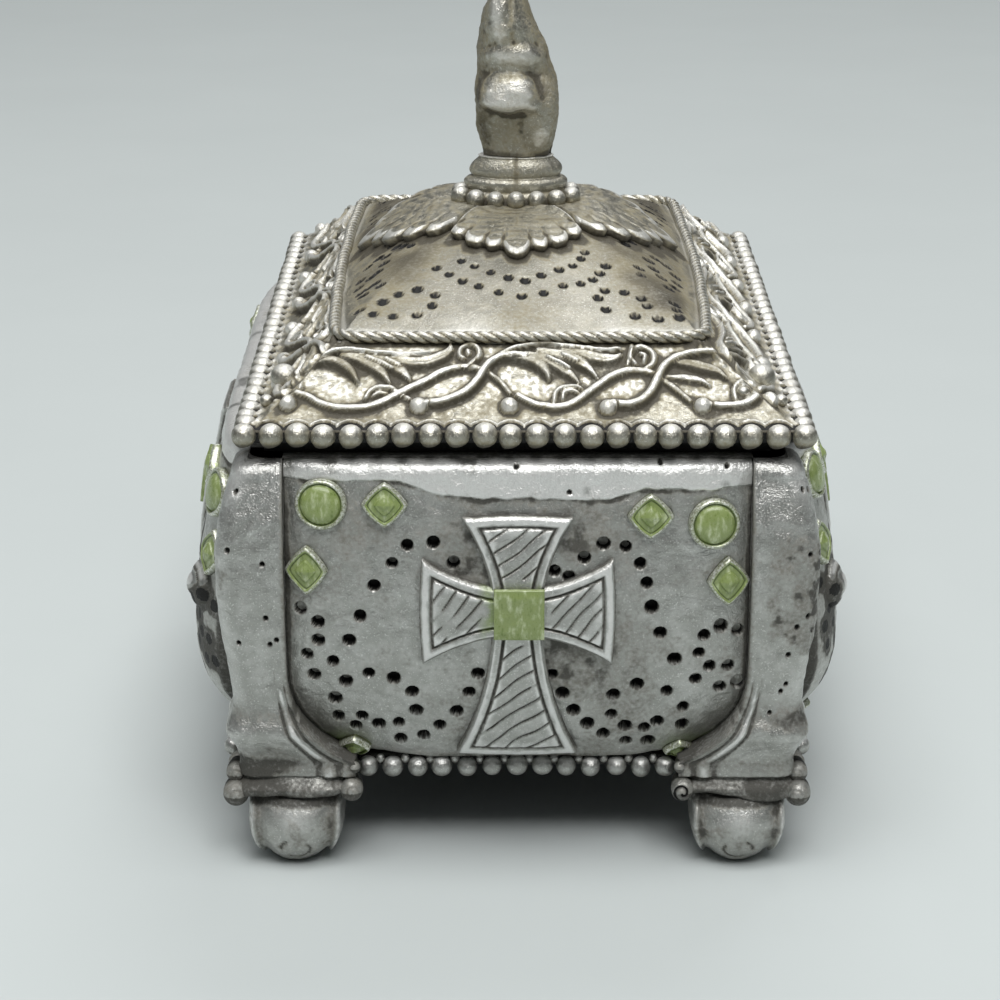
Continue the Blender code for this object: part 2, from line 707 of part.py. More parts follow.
def make_beaded_apron(face):
    """Row of beads under a panel, joined along their backs by a thin strip."""
    half = (BRACKET_INNER if face in END_FACES else BRACKET_FLANK_INNER) - SEAT_GAP
    distance = panel_distance(face, 0.0, BODY_BOTTOM) - BASE_BEAD_INSET
    height = BODY_BOTTOM - SEAT_GAP - BASE_BEAD_DIAMETER / 2.0
    beads = loft(bead_row(half, distance, height))
    apron = on_face(mesh_object(f"beaded_apron_{face}", *beads, SILVER_RESIN), face)
    low = height - APRON_DROP
    outline = ((-APRON_THICKNESS, low), (0.0, low), (0.0, height), (-APRON_THICKNESS, height))
    strip = [np.array([face_point(end, distance + out, level) for out, level in outline])
             for end in (SEAT_GAP - half, half - SEAT_GAP)]
    guide = on_face(mesh_object(f"{face}_apron_guide", *loft(strip), SILVER_RESIN), face)
    boolean(apron, guide, "UNION")


# Lid

def blended_ring(half_width, half_length, height, round_share):
    """Ring of points that turns from a rectangle (0) into a circle (1) of its half width."""
    points = []
    for turn in range(4):
        for step in range(SIDE_POINTS):
            across = -1.0 + 2.0 * step / SIDE_POINTS
            angle = math.radians(45.0 * across)
            square = np.array((across, -1.0))
            circle = np.array((math.sin(angle), -math.cos(angle)))
            mixed = square * (1.0 - round_share) + circle * round_share
            for _ in range(turn):
                mixed = np.array((-mixed[1], mixed[0]))
            points.append((mixed[0] * half_width, mixed[1] * half_length, height))
    return np.array(points)


def dome_ring(share, drop=0.0):
    """Ring of the dome, from the rope (0) to the collar's seat (1), lowered by drop."""
    half_width = RIM_WIDTH / 2.0 - ROPE_INSET
    half_length = RIM_LENGTH / 2.0 - ROPE_INSET
    width = half_width + (COLLAR_SEAT_RADIUS - half_width) * share
    length = half_length + (COLLAR_SEAT_RADIUS * COLLAR_DEPTH_SHARE - half_length) * share
    height = ROPE_HEIGHT + (DOME_TOP - ROPE_HEIGHT) * (1.0 - (1.0 - share) ** DOME_FULLNESS)
    return blended_ring(width - drop, length - drop, height - drop, share ** 2)


def make_lid_shell():
    """Lid casting: edge, sloping border, dome, hollow underside and the locating lip."""
    edge_width = RIM_WIDTH / 2.0 - RIM_TO_EDGE
    edge_length = RIM_LENGTH / 2.0 - RIM_TO_EDGE
    bore = PEG_RADIUS + PEG_CLEARANCE
    lip_width = CAVITY_HALF_WIDTH - LIP_CLEARANCE
    lip_length = CAVITY_HALF_LENGTH - LIP_CLEARANCE
    inner_width = lip_width - LIP_WALL
    inner_length = lip_length - LIP_WALL
    lip_end = LID_SEAT - LIP_DEPTH
    rings = [
        blended_ring(bore, bore, DOME_TOP - PEG_SOCKET_DEPTH, 1.0),
        blended_ring(bore, bore, DOME_TOP, 1.0),
    ]
    rings += [dome_ring(share) for share in (1.0, 0.8, 0.6, 0.4, 0.2, 0.0)]
    rings += [
        blended_ring(edge_width, edge_length, SLOPE_FOOT, 0.0),
        blended_ring(edge_width, edge_length, LID_SEAT, 0.0),
        blended_ring(lip_width, lip_length, LID_SEAT, 0.0),
        blended_ring(lip_width, lip_length, lip_end, 0.0),
        blended_ring(inner_width, inner_length, lip_end, 0.0),
        blended_ring(inner_width, inner_length, LID_SEAT + LID_EDGE_THICKNESS / 2.0, 0.0),
    ]
    rings += [dome_ring(share, LID_WALL) for share in (0.0, 0.3, 0.6)]
    mesh_object("lid_shell", *loft(rings), WARM_RESIN)


def rectangle_path(half_width, half_length, height, pitch):
    """Closed path round a rectangle with stations at an even pitch, and the bead flags."""
    points = []
    flags = []
    sides = (((-1, -1), (1, -1)), ((1, -1), (1, 1)), ((1, 1), (-1, 1)), ((-1, 1), (-1, -1)))
    for start, end in sides:
        first = np.array((start[0] * half_width, start[1] * half_length))
        last = np.array((end[0] * half_width, end[1] * half_length))
        length = float(np.linalg.norm(last - first))
        for along, is_waist in bead_stations(length, pitch)[:-1]:
            spot = first + (last - first) * along / length
            points.append((spot[0], spot[1], height))
            flags.append(not is_waist)
    return np.array(points), flags


def make_bead_rim():
    """String of beads round the lid's edge, a bead on each corner."""
    radius = RIM_BEAD_DIAMETER / 2.0
    path, is_bead = rectangle_path(RIM_WIDTH / 2.0 - radius, RIM_LENGTH / 2.0 - radius,
                                   RIM_HEIGHT, RIM_BEAD_PITCH)
    radii = [radius if bead else radius / 2.0 for bead in is_bead]
    mesh_object("lid_bead_rim", *loop_tube(path, radii, TUBE_SIDES), WARM_RESIN)


def make_rope_border():
    """Rope laid along the ridge between the sloping border and the dome."""
    radius = ROPE_DIAMETER / 2.0
    height = ROPE_HEIGHT + (radius + SEAT_GAP) * ROPE_LIFT_SHARE
    path = blended_ring(RIM_WIDTH / 2.0 - ROPE_INSET, RIM_LENGTH / 2.0 - ROPE_INSET, height, 0.0)
    rope = loop_tube(path, [radius] * len(path), SIDE_POINTS)
    mesh_object("rope_border", *rope, WARM_RESIN)


def slope_point(face, along, up_slope, lift):
    """Point over a sloping border: along it, up the slope and lifted off it."""
    run = ROPE_INSET - RIM_TO_EDGE
    slant = math.hypot(ROPE_RISE, run)
    run_share = run / slant
    rise_share = ROPE_RISE / slant
    half = RIM_LENGTH / 2.0 if face in END_FACES else RIM_WIDTH / 2.0
    out = half - RIM_TO_EDGE - up_slope * run_share + lift * rise_share
    return face_point(along, out, SLOPE_FOOT + up_slope * rise_share + lift * run_share)


def make_vine_border(face):
    """Scrolling vine: a waved stem that swells into a leaf at each crest."""
    half = RIM_WIDTH / 2.0 if face in END_FACES else RIM_LENGTH / 2.0
    reach = half - RIM_TO_EDGE - VINE_END_MARGIN
    steps = 10 * max(2, round(2.0 * reach / VINE_PERIOD))
    middle = math.hypot(ROPE_RISE, ROPE_INSET - RIM_TO_EDGE) / 2.0
    rings = []
    for i in range(steps + 1):
        along = -reach + 2.0 * reach * i / steps
        phase = 2.0 * math.pi * along / VINE_PERIOD
        centre = middle + VINE_SWING * math.sin(phase)
        swell = max(0.0, math.sin(phase)) ** 2
        width = VINE_STEM_HALF + (VINE_LEAF_HALF - VINE_STEM_HALF) * swell
        low = SEAT_GAP
        high = SEAT_GAP + VINE_THICKNESS
        rings.append(np.array([
            slope_point(face, along, centre - width, low),
            slope_point(face, along, centre + width, low),
            slope_point(face, along, centre + width / 2.0, high),
            slope_point(face, along, centre - width / 2.0, high),
        ]))
    on_face(mesh_object(f"vine_border_{face}", *loft(rings), WARM_RESIN), face)


def dome_point(kind, across_share, share, lift):
    """Point over one side of the dome, in shares across it and up it, lifted off it."""
    ring = dome_ring(share)
    first = 0 if kind == "end" else SIDE_POINTS
    side = np.array([ring[(first + i) % len(ring)] for i in range(SIDE_POINTS + 1)])
    columns = np.linspace(-1.0, 1.0, SIDE_POINTS + 1)
    x, y, z = (np.interp(across_share, columns, side[:, k]) for k in range(3))
    place = (x, y, z + lift) if kind == "end" else (y, -x, z + lift)
    return np.array(place)


def joined_rows(steps, table):
    """Rows of a table read at places between its rows."""
    places = range(len(table))
    return [tuple(np.interp(step, places, table[:, k]) for k in range(table.shape[1])) for step in steps]


def make_dome_leaf(face):
    """Fan-shaped leaf that hangs from the collar over one side of the dome."""
    kind = "end" if face in END_FACES else "side"
    half_share, row_shares = END_LEAF_SHARES if kind == "end" else SIDE_LEAF_SHARES
    across = (-1.0, -0.5, 0.0, 0.5, 1.0)
    # Rows between the table's, so that the thin leaf keeps to the dome's curve at any size
    steps = np.linspace(0.0, len(row_shares) - 1.0, 4 * len(row_shares) - 3)
    table = np.array(row_shares)
    rings = []
    for share, width_share in joined_rows(steps, table):
        half = half_share * width_share
        low = [dome_point(kind, side * half, share, LEAF_LIFT) for side in across]
        high = [point + (0.0, 0.0, LEAF_THICKNESS) for point in reversed(low)]
        rings.append(np.array(low + high))
    on_face(mesh_object(f"dome_leaf_{face}", *loft(rings), WARM_RESIN), face)


# Finial

def half_round(ring_radius, height, bulge, steps):
    """Outer half of a torus section, from its underside to its top."""
    places = []
    for i in range(steps + 1):
        angle = math.pi * i / steps - math.pi / 2.0
        places.append((ring_radius + bulge * math.cos(angle), height + bulge * math.sin(angle)))
    return places


def make_finial_collar():
    """Oval collar: a rounded lowest ring under two rounded tiers, with a round bore for the peg."""
    bore = PEG_RADIUS + PEG_CLEARANCE
    profile = [(bore, COLLAR_BASE)]
    profile += half_round(COLLAR_RING_RADIUS, COLLAR_BASE + COLLAR_BEAD_RADIUS, COLLAR_BEAD_RADIUS, 6)
    profile += half_round(COLLAR_LOWER_RADIUS - TIER_RADIUS, LOWER_TIER_HEIGHT, TIER_RADIUS, 4)[1:]
    profile += half_round(COLLAR_UPPER_RADIUS - TIER_RADIUS, UPPER_TIER_HEIGHT, TIER_RADIUS, 4)[1:]
    profile += [(COLLAR_NECK_RADIUS, COLLAR_TOP), (bore, COLLAR_TOP)]
    collar = turned_object("finial_collar", profile, TURNED_SIDES, WARM_RESIN)
    for corner in collar.data.vertices:
        if corner.co.xy.length > bore + SEAT_GAP:
            corner.co.y *= COLLAR_DEPTH_SHARE


def finial_body_rings():
    """Oval sections of the finial's middle, above its round peg."""
    peg_bottom = DOME_TOP - PEG_SOCKET_DEPTH + SEAT_GAP
    rings = [level_ring(PEG_RADIUS, PEG_RADIUS, height) for height in (peg_bottom, FINIAL_BASE)]
    for share, depth_share, spread_share in FINIAL_SHARES:
        rings.append(level_ring(FINIAL_HALF_DEPTH * depth_share, FINIAL_HALF_SPREAD * spread_share,
                                FINIAL_BASE + FINIAL_HEIGHT * share))
    return rings


def petal_rings(sign):
    """Flattened tube of a side petal that rises, curls out and droops."""
    line = np.array([(sign * reach * PETAL_REACH, FINIAL_BASE + rise * FINIAL_HEIGHT)
                     for reach, rise, _ in PETAL_SHARES])
    ahead = np.gradient(line, axis=0)
    ahead /= np.linalg.norm(ahead, axis=1)[:, None]
    rings = []
    for middle, direction, (_, _, size) in zip(line, ahead, PETAL_SHARES):
        ring = []
        for k in range(PETAL_SIDES):
            angle = math.radians(360.0) * k / PETAL_SIDES
            side = PETAL_HALF_THICKNESS * size * math.sin(angle)
            ring.append((PETAL_HALF_WIDTH * size * math.cos(angle),
                         middle[0] - direction[1] * side, middle[1] + direction[0] * side))
        rings.append(np.array(ring))
    return rings


def make_finial():
    """Lily finial: a pointed middle petal with a curled petal toward each end of the box."""
    finial = mesh_object("finial", *loft(finial_body_rings()), WARM_RESIN)
    for label, sign in (("near", -1), ("far", 1)):
        petal = mesh_object(f"{label}_petal_guide", *loft(petal_rings(sign)), WARM_RESIN)
        boolean(finial, petal, "UNION")


def hang_on_lid_axis():
    """Parent the lid's pieces to an empty on the axis along which the lid lifts."""
    pieces = [piece for piece in bpy.data.objects if piece.name.startswith(LID_NAMES)]
    axis = bpy.data.objects.new("lift_axis", None)
    bpy.context.scene.collection.objects.link(axis)
    for piece in pieces:
        piece.parent = axis


def main():
    """Build every piece of the box."""
    clear_scene()
    make_box_body()
    for name, sign_x, sign_y in CORNERS:
        make_corner_leg(name, sign_x, sign_y)
        make_scroll_foot(name, sign_x, sign_y)
    for face in FACES:
        make_cross(face)
        make_panel_gems(face)
        make_beaded_apron(face)
        make_vine_border(face)
        make_dome_leaf(face)
    make_lid_shell()
    make_bead_rim()
    make_rope_border()
    make_finial_collar()
    make_finial()
    hang_on_lid_axis()


if __name__ == "__main__":
    main()
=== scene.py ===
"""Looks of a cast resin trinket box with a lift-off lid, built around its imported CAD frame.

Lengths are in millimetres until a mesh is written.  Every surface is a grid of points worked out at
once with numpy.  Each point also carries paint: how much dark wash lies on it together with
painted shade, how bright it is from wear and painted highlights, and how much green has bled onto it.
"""

import logging
import math
from collections.abc import Sequence
from dataclasses import dataclass, field
from enum import Enum
from functools import cache

import bpy
import numpy as np
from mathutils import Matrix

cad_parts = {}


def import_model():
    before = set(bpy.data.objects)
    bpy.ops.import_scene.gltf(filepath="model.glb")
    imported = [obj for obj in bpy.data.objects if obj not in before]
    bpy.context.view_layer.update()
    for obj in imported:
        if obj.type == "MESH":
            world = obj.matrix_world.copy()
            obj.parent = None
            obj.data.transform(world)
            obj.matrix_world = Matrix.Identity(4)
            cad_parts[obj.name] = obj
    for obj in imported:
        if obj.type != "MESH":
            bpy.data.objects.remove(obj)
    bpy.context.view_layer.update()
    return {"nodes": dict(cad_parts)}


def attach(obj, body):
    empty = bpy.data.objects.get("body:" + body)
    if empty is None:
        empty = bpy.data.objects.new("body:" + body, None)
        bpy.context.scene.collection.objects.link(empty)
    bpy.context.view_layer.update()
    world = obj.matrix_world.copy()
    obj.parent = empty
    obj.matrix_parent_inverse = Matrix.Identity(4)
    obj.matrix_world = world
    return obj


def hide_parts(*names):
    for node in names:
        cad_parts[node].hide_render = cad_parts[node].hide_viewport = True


log = logging.getLogger("trinket_box")
Array = np.ndarray
Colour = tuple[float, float, float, float]
Socket = bpy.types.NodeSocket
MM = 0.001

# Body
BODY_BOTTOM, SHOULDER_HEIGHT, BODY_TOP = 14.2, 55.7, 57.7
SHOULDER_WIDTH, SHOULDER_LENGTH = 36.9, 52.9
SHOULDER_ROUND, CAVITY_WIDTH, CAVITY_LENGTH, CAVITY_FLOOR = 2.2, 31.5, 47.5, 18.8
PANEL_MARGIN, PANEL_CORNER = 6.4, 14.0
LEG_OUTSET, LEG_THICKNESS, LEG_ROUND = 2.8, 2.4, 2.6
SEAT_GAP = 0.3
CROSS_HEIGHT = 37.8
# Lid
RIM_HEIGHT, SLOPE_FOOT = 61.1, 62.3
RIM_WIDTH, RIM_LENGTH, RIM_BEAD = 38.0, 54.0, 1.65
EDGE_INSET, ROPE_INSET, ROPE_HEIGHT, ROPE_RADIUS = 3.6, 14.0, 69.9, 0.85
ROPE_HALF = RIM_WIDTH - ROPE_INSET
SLOPE_RUN, SLOPE_RISE = 10.4, 7.6
SLANT = math.hypot(SLOPE_RUN, SLOPE_RISE)
DOME_TOP, DOME_FULLNESS, COLLAR_SEAT, COLLAR_DEPTH = 79.5, 1.5, 10.3, 0.55
FINIAL_BASE, FINIAL_HEIGHT = 87.1, 31.4
# The lid's casting sits a little to the right of the box below, and straightens towards its top
LEAN = 0.85
# Its rope border bows outward along the long sides: how far, and over what length and width
BOW, BOW_REACH, BOW_WIDTH = 1.7, 52.0, 7.0
# Panels: bulge in the middle and drop towards the edges, of the short and of the long faces
END_BULGE, END_DROP, FLANK_BULGE, FLANK_DROP = 1.9, 1.6, 8.1, 4.8
# Beads across the rim and along it
RIM_BEADS_ACROSS, RIM_BEADS_ALONG = 22, 32
# Paint: wash from which a place shows as black painted shade in holes and gaps, and the most that lies
# elsewhere
HOLE_SHADE_FROM, RELIEF_WASH_AND_SHADE, FOOT_WASH_AND_SHADE = 0.9, 0.86, 0.84
# Distance between the points of the panels
END_STEP, FLANK_STEP = 0.17, 0.215
# Cells along the lattice of the noise, and how far its origin is moved off
LATTICE, LATTICE_SHIFT = 128, 640.0


class Side(Enum):
    """Faces of the box, in quarter turns from the front."""

    FRONT = 0
    RIGHT = 1
    BACK = 2
    LEFT = 3

    @property
    def label(self) -> str:
        """Name used in the node names."""
        return self.name.lower()

    @property
    def is_end(self) -> bool:
        """True for the two short faces."""
        return self.value % 2 == 0


class Slot(Enum):
    """Material slots of the record."""

    SILVER = "silver_resin"
    WARM = "warm_resin"
    ENAMEL = "green_enamel"


# Curves and noise

def joined(*parts: Array) -> Array:
    """Arrays brought to one shape and joined as the last axis."""
    return np.stack(np.broadcast_arrays(*parts), -1)


def looked_up(table: tuple[tuple[float, float], ...], place: Array) -> Array:
    """Value at each place between the rows of a table of places and values."""
    places, values = zip(*table)
    return np.interp(place, places, values)


def drawn_out(rows: Array, count: int) -> Array:
    """Rows of a table drawn out, evenly by their number, to a count of rows."""
    at = np.linspace(0, len(rows) - 1, count)
    return np.stack([np.interp(at, range(len(rows)), column) for column in rows.T], -1)


def full_turn(count: int) -> Array:
    """Row of angles that goes once round."""
    return np.linspace(0.0, 2.0 * math.pi, count, endpoint=False)[None, :]


def painted(points: Array, wash: Array | float, bright: Array | float = 0.0,
            stain: Array | float = 0.0) -> Array:
    """Paint for a grid of points: how much wash and painted shade, brightness and stain each one carries.

    Args:
        points: the grid that is painted.
        wash, bright, stain: wash with painted shade, brightness from wear and painted highlights, and stain;
            amounts from 0 to 1.
    Returns:
        Rows x columns x 3 paint.
    """
    paint = np.zeros(points.shape[:2] + (3,))
    for channel, amount in enumerate((wash, bright, stain)):
        paint[..., channel] = amount
    return paint


def smoothstep(low: float, high: float, value: Array) -> Array:
    """Rises from 0 to 1 as the value goes from low to high, flat at both ends.

    Args:
        low: value that gives 0.
        high: value that gives 1; it may be less than low.
        value: what is looked up.
    Returns:
        Shares from 0 to 1.
    """
    share = np.clip((value - low) / (high - low), 0.0, 1.0)
    return share * share * (3.0 - 2.0 * share)


def hump(value: Array, centre: float, width: float) -> Array:
    """Bell curve that is 1 at the centre."""
    return np.exp(-((value - centre) / width) ** 2)


def noise(s: Array, t: Array, scale: float, seed: int) -> Array:
    """Smooth random field from -1 to 1: seeded values on a square lattice, eased between them.

    Args:
        s, t: places in mm.
        scale: size of one lattice cell in mm.
        seed: which field.
    Returns:
        The field at each place.
    """
    table = np.random.default_rng(seed).random((LATTICE, LATTICE)) * 2.0 - 1.0
    u, v = s / scale + LATTICE_SHIFT, t / scale + LATTICE_SHIFT
    i, j = np.floor(u).astype(int), np.floor(v).astype(int)
    fu, fv = u - i, v - j
    fu, fv = fu * fu * (3.0 - 2.0 * fu), fv * fv * (3.0 - 2.0 * fv)
    left, right, low, high = i % LATTICE, (i + 1) % LATTICE, j % LATTICE, (j + 1) % LATTICE
    near = table[left, low] * (1 - fu) + table[right, low] * fu
    far = table[left, high] * (1 - fu) + table[right, high] * fu
    return near * (1 - fv) + far * fv


def grain(s: Array, t: Array, scale: float, seed: int) -> Array:
    """Three octaves of noise, each half the size and half the strength of the last."""
    return sum(noise(s, t, scale / 2 ** k, seed + k) / 2 ** k for k in range(3)) / 1.75


def blur(values: Array, cells: int) -> Array:
    """Running mean of a grid along both ways, done twice, its edges held.

    Args:
        values: rows x columns.
        cells: how far the mean reaches to each side.
    Returns:
        The grid, smoothed.
    """
    for _ in range(2):
        for axis in (0, 1):
            pad = [(0, 0), (0, 0)]
            pad[axis] = (cells + 1, cells)
            total = np.cumsum(np.pad(values, pad, mode="edge"), axis=axis)
            size = values.shape[axis]
            high = np.take(total, range(2 * cells + 1, 2 * cells + 1 + size), axis=axis)
            low = np.take(total, range(size), axis=axis)
            values = (high - low) / (2 * cells + 1)
    return values


def smooth_path(places: Sequence[tuple[float, ...]] | Array, steps: int) -> Array:
    """Catmull-Rom curve through the places, with a number of steps between each two.

    Args:
        places: n x k places.
        steps: points from each place to the next.
    Returns:
        The curve's points.
    """
    knots = np.array(places, float)
    knots = np.vstack([2 * knots[0] - knots[1], knots, 2 * knots[-1] - knots[-2]])
    share = np.linspace(0.0, 1.0, steps, endpoint=False)[:, None]
    pieces = []
    for i in range(1, len(knots) - 2):
        a, b, c, d = knots[i - 1:i + 3]
        pieces.append(0.5 * (2 * b + (c - a) * share + (2 * a - 5 * b + 4 * c - d) * share ** 2
                             + (3 * b - a - 3 * c + d) * share ** 3))
    return np.vstack(pieces + [knots[-2:-1]])


@dataclass(frozen=True)
class Curve:
    """Smooth curve through a table of shares."""

    table: tuple[tuple[float, float], ...]

    def at(self, share: Array) -> Array:
        """Value at each share: the table is drawn out on a fine row, then eased at its corners."""
        fine = np.linspace(-0.1, 1.1, 481)
        return np.interp(share, fine, blur(looked_up(self.table, fine)[:, None], 5)[:, 0])


LEG_CURVE = Curve(((0, .23), (.04, .25), (.06, .32), (.10, .61), (.13, .84), (.16, .74), (.19, .54),
                   (.24, .46), (.31, .52), (.40, .68), (.50, .89), (.62, 1.0), (.77, .96), (.86, .75),
                   (.94, .46), (1, .14)))
END_CURVE = Curve(((0, -2.20), (.02, -1.90), (.06, -1.32), (.10, -.90), (.14, -.55), (.20, -.10),
                   (.28, .37), (.38, .74), (.50, .95), (.63, 1.0), (.77, .79), (.89, .53), (1, .10)))
SIDE_CURVE = Curve(((0, .34), (.02, .43), (.06, .58), (.10, .71), (.14, .81), (.20, .93), (.28, 1.0),
                    (.38, 1.0), (.50, .96), (.63, .86), (.77, .70), (.89, .56), (1, .40)))
FLARE_CURVE = Curve(((0, 0), (.15, .02), (.30, .09), (.45, .20), (.60, .36), (.72, .52), (.82, .67),
                     (.91, .83), (1, 1)))


def body_share(z: Array) -> Array:
    """Share of the height between the body's bottom and its shoulder."""
    return (z - BODY_BOTTOM) / (SHOULDER_HEIGHT - BODY_BOTTOM)


def shoulder_inset(z: Array) -> Array:
    """How far the rounded shoulder is drawn in at a height: a quarter of an ellipse."""
    rise = np.clip((z - SHOULDER_HEIGHT) / (BODY_TOP - SHOULDER_HEIGHT), 0.0, 1.0)
    return SHOULDER_ROUND * (1.0 - np.sqrt(1.0 - rise ** 2))


def turned(points: Array, turns: int) -> Array:
    """Points turned about Z by quarter turns."""
    for _ in range(turns):
        points = joined(-points[..., 1], points[..., 0], points[..., 2])
    return points


def settled(points: Array) -> Array:
    """Points of the lid as cast: the rope border bowed outward, and the whole leaning right.

    Args:
        points: n x 3 points in mm.
    Returns:
        The points, moved.
    """
    points = points.copy()
    z = points[:, 2]
    x, along = points[:, 0].copy(), np.clip(1.0 - (points[:, 1] / BOW_REACH) ** 2, 0.0, 1.0)
    out = BOW * along * hump(np.abs(x), ROPE_HALF, BOW_WIDTH) * smoothstep(62.5, 69.0, z)
    points[:, 0] += np.sign(x) * out * smoothstep(80.0, 77.0, z)
    points[:, 0] += LEAN * smoothstep(58.6, 60.2, z) * smoothstep(80.0, 62.0, z)
    return points


# Meshes

@dataclass
class Shape:
    """Mesh gathered from closed shells of points in mm."""

    points: list[Array] = field(default_factory=list)
    paint: list[Array] = field(default_factory=list)
    faces: list[Array] = field(default_factory=list)
    count: int = 0

    def shell(self, points: Array, faces: list[Array], paint: Array) -> "Shape":
        """Adds one closed shell, turned outward by the sign of its volume.

        Args:
            points: n x 3 points.
            faces: groups of faces, each of one number of corners.
            paint: n x 3 paint.
        Returns:
            The shape itself.
        """
        middle = points.mean(axis=0)
        volume = 0.0
        for group in faces:
            corner = points[group] - middle
            for k in range(1, group.shape[1] - 1):
                volume += np.einsum("ij,ij->", corner[:, 0], np.cross(corner[:, k], corner[:, k + 1]))
        for group in faces:
            self.faces.append((group if volume > 0 else group[:, ::-1]) + self.count)
        self.points.append(points)
        self.paint.append(paint)
        self.count += len(points)
        return self

    def tube(self, rings: Array, paint: Array, loop: bool = False) -> "Shape":
        """Adds a tube through rings of points, joined round, its ends closed or joined.

        Args:
            rings: rows x columns x 3 points; each row is one ring.
            paint: rows x columns x 3 paint.
            loop: joins the last ring to the first instead of closing both with a fan.
        Returns:
            The shape itself.
        """
        rows, columns = rings.shape[:2]
        index = np.arange(rows * columns).reshape(rows, columns)
        below, above = index, np.roll(index, -1, axis=0)
        if not loop:
            below, above = below[:-1], above[:-1]
        quads = joined(below, np.roll(below, -1, 1), np.roll(above, -1, 1), above)
        faces = [quads.reshape(-1, 4)]
        points, shade = rings.reshape(-1, 3), paint.reshape(-1, 3)
        if not loop:
            ends = [rings[0].mean(axis=0), rings[-1].mean(axis=0)]
            points = np.vstack([points, ends])
            shade = np.vstack([shade, shade[:1], shade[-1:]])
            for row, centre, flip in ((0, rows * columns, True), (-1, rows * columns + 1, False)):
                ring = index[row]
                fan = joined(ring, np.roll(ring, -1), np.full(columns, centre))
                faces.append(fan[:, ::-1] if flip else fan)
        return self.shell(points, faces, shade)

    def slab(self, front: Array, back: Array, paint: Array) -> "Shape":
        """Adds a sheet closed behind: its border drops to the back's border and a point within.

        Args:
            front: rows x columns x 3 points of the seen surface.
            back: the same grid where the hidden back lies; only its border is used.
            paint: rows x columns x 3 paint.
        Returns:
            The shape itself.
        """
        rows, columns = front.shape[:2]
        index = np.arange(rows * columns).reshape(rows, columns)
        quads = joined(index[:-1, :-1], index[:-1, 1:], index[1:, 1:], index[1:, :-1])
        border = np.concatenate([index[0, :-1], index[:-1, -1], index[-1, :0:-1], index[:0:-1, 0]])
        ring = back.reshape(-1, 3)[border]
        start = rows * columns
        low = np.arange(start, start + len(border))
        side = joined(border, low, np.roll(low, -1), np.roll(border, -1))
        fan = joined(low, np.full(len(low), start + len(low)), np.roll(low, -1))
        points = np.vstack([front.reshape(-1, 3), ring, ring.mean(axis=0)])
        # Painted shade: the walls and back are painted fully dark, under each sheet's raised edge.
        shade = np.vstack([paint.reshape(-1, 3), np.tile([1.0, 0.0, 0.0], (len(low) + 1, 1))])
        return self.shell(points, [quads.reshape(-1, 4), side, fan], shade)

    def ball(self, centre: Array, radii: Array, wash: float, turn: int) -> "Shape":
        """Adds a ball-shaped bead of so many columns, with painted shade low round its sides and a painted
        highlight on its top.

        Args:
            centre: its middle.
            radii: its three radii.
            wash: how dark its painted shade is low down.
            turn: columns round it.
        Returns:
            The shape itself.
        """
        rise = np.linspace(-0.5 * math.pi, 0.5 * math.pi, turn // 2 + 3)[1:-1, None]
        angle = full_turn(turn)
        unit = joined(np.cos(rise) * np.cos(angle), np.cos(rise) * np.sin(angle), np.sin(rise))
        # Painted shade on the lower sides, painted highlight on the top.
        paint = painted(unit, wash * smoothstep(0.1, -0.9, unit[..., 2]), smoothstep(0.3, 0.95, unit[..., 2]))
        return self.tube(centre + unit * radii, paint)

    def build(self, name: str, body: str, slot: Slot, *replaces: str) -> bpy.types.Object:
        """Writes the mesh, smooth shaded, and puts it on its body.

        Args:
            name: the piece's name.
            body: the CAD body it rides on.
            slot: the record's material slot, which also gives its finish.
            replaces: CAD nodes that it stands for.
        Returns:
            The new object.
        """
        points = np.vstack(self.points)
        if body == "lid":
            points = settled(points)
        points = points * MM
        corners = np.concatenate([group.ravel() for group in self.faces])
        sizes = np.concatenate([np.full(len(g), g.shape[1]) for g in self.faces])
        mesh = bpy.data.meshes.new(name)
        mesh.vertices.add(len(points))
        mesh.vertices.foreach_set("co", points.astype(np.float32).ravel())
        mesh.loops.add(len(corners))
        mesh.loops.foreach_set("vertex_index", corners.astype(np.int32))
        mesh.polygons.add(len(sizes))
        starts = np.concatenate([[0], np.cumsum(sizes)[:-1]])
        mesh.polygons.foreach_set("loop_start", starts.astype(np.int32))
        mesh.update(calc_edges=True)
        mesh.validate()
        mesh.shade_smooth()
        layer = mesh.attributes.new("paint", "FLOAT_COLOR", "POINT")
        colour = np.ones((len(points), 4), np.float32)
        colour[:, :3] = np.clip(np.vstack(self.paint), 0.0, 1.0)
        layer.data.foreach_set("color", colour.ravel())
        mesh.materials.append(finish_of(slot))
        piece = bpy.data.objects.new(name, mesh)
        bpy.context.scene.collection.objects.link(piece)
        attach(piece, body)
        if replaces:
            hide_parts(*replaces)
        log.info("%s: %d faces", name, len(sizes))
        return piece


# Reliefs

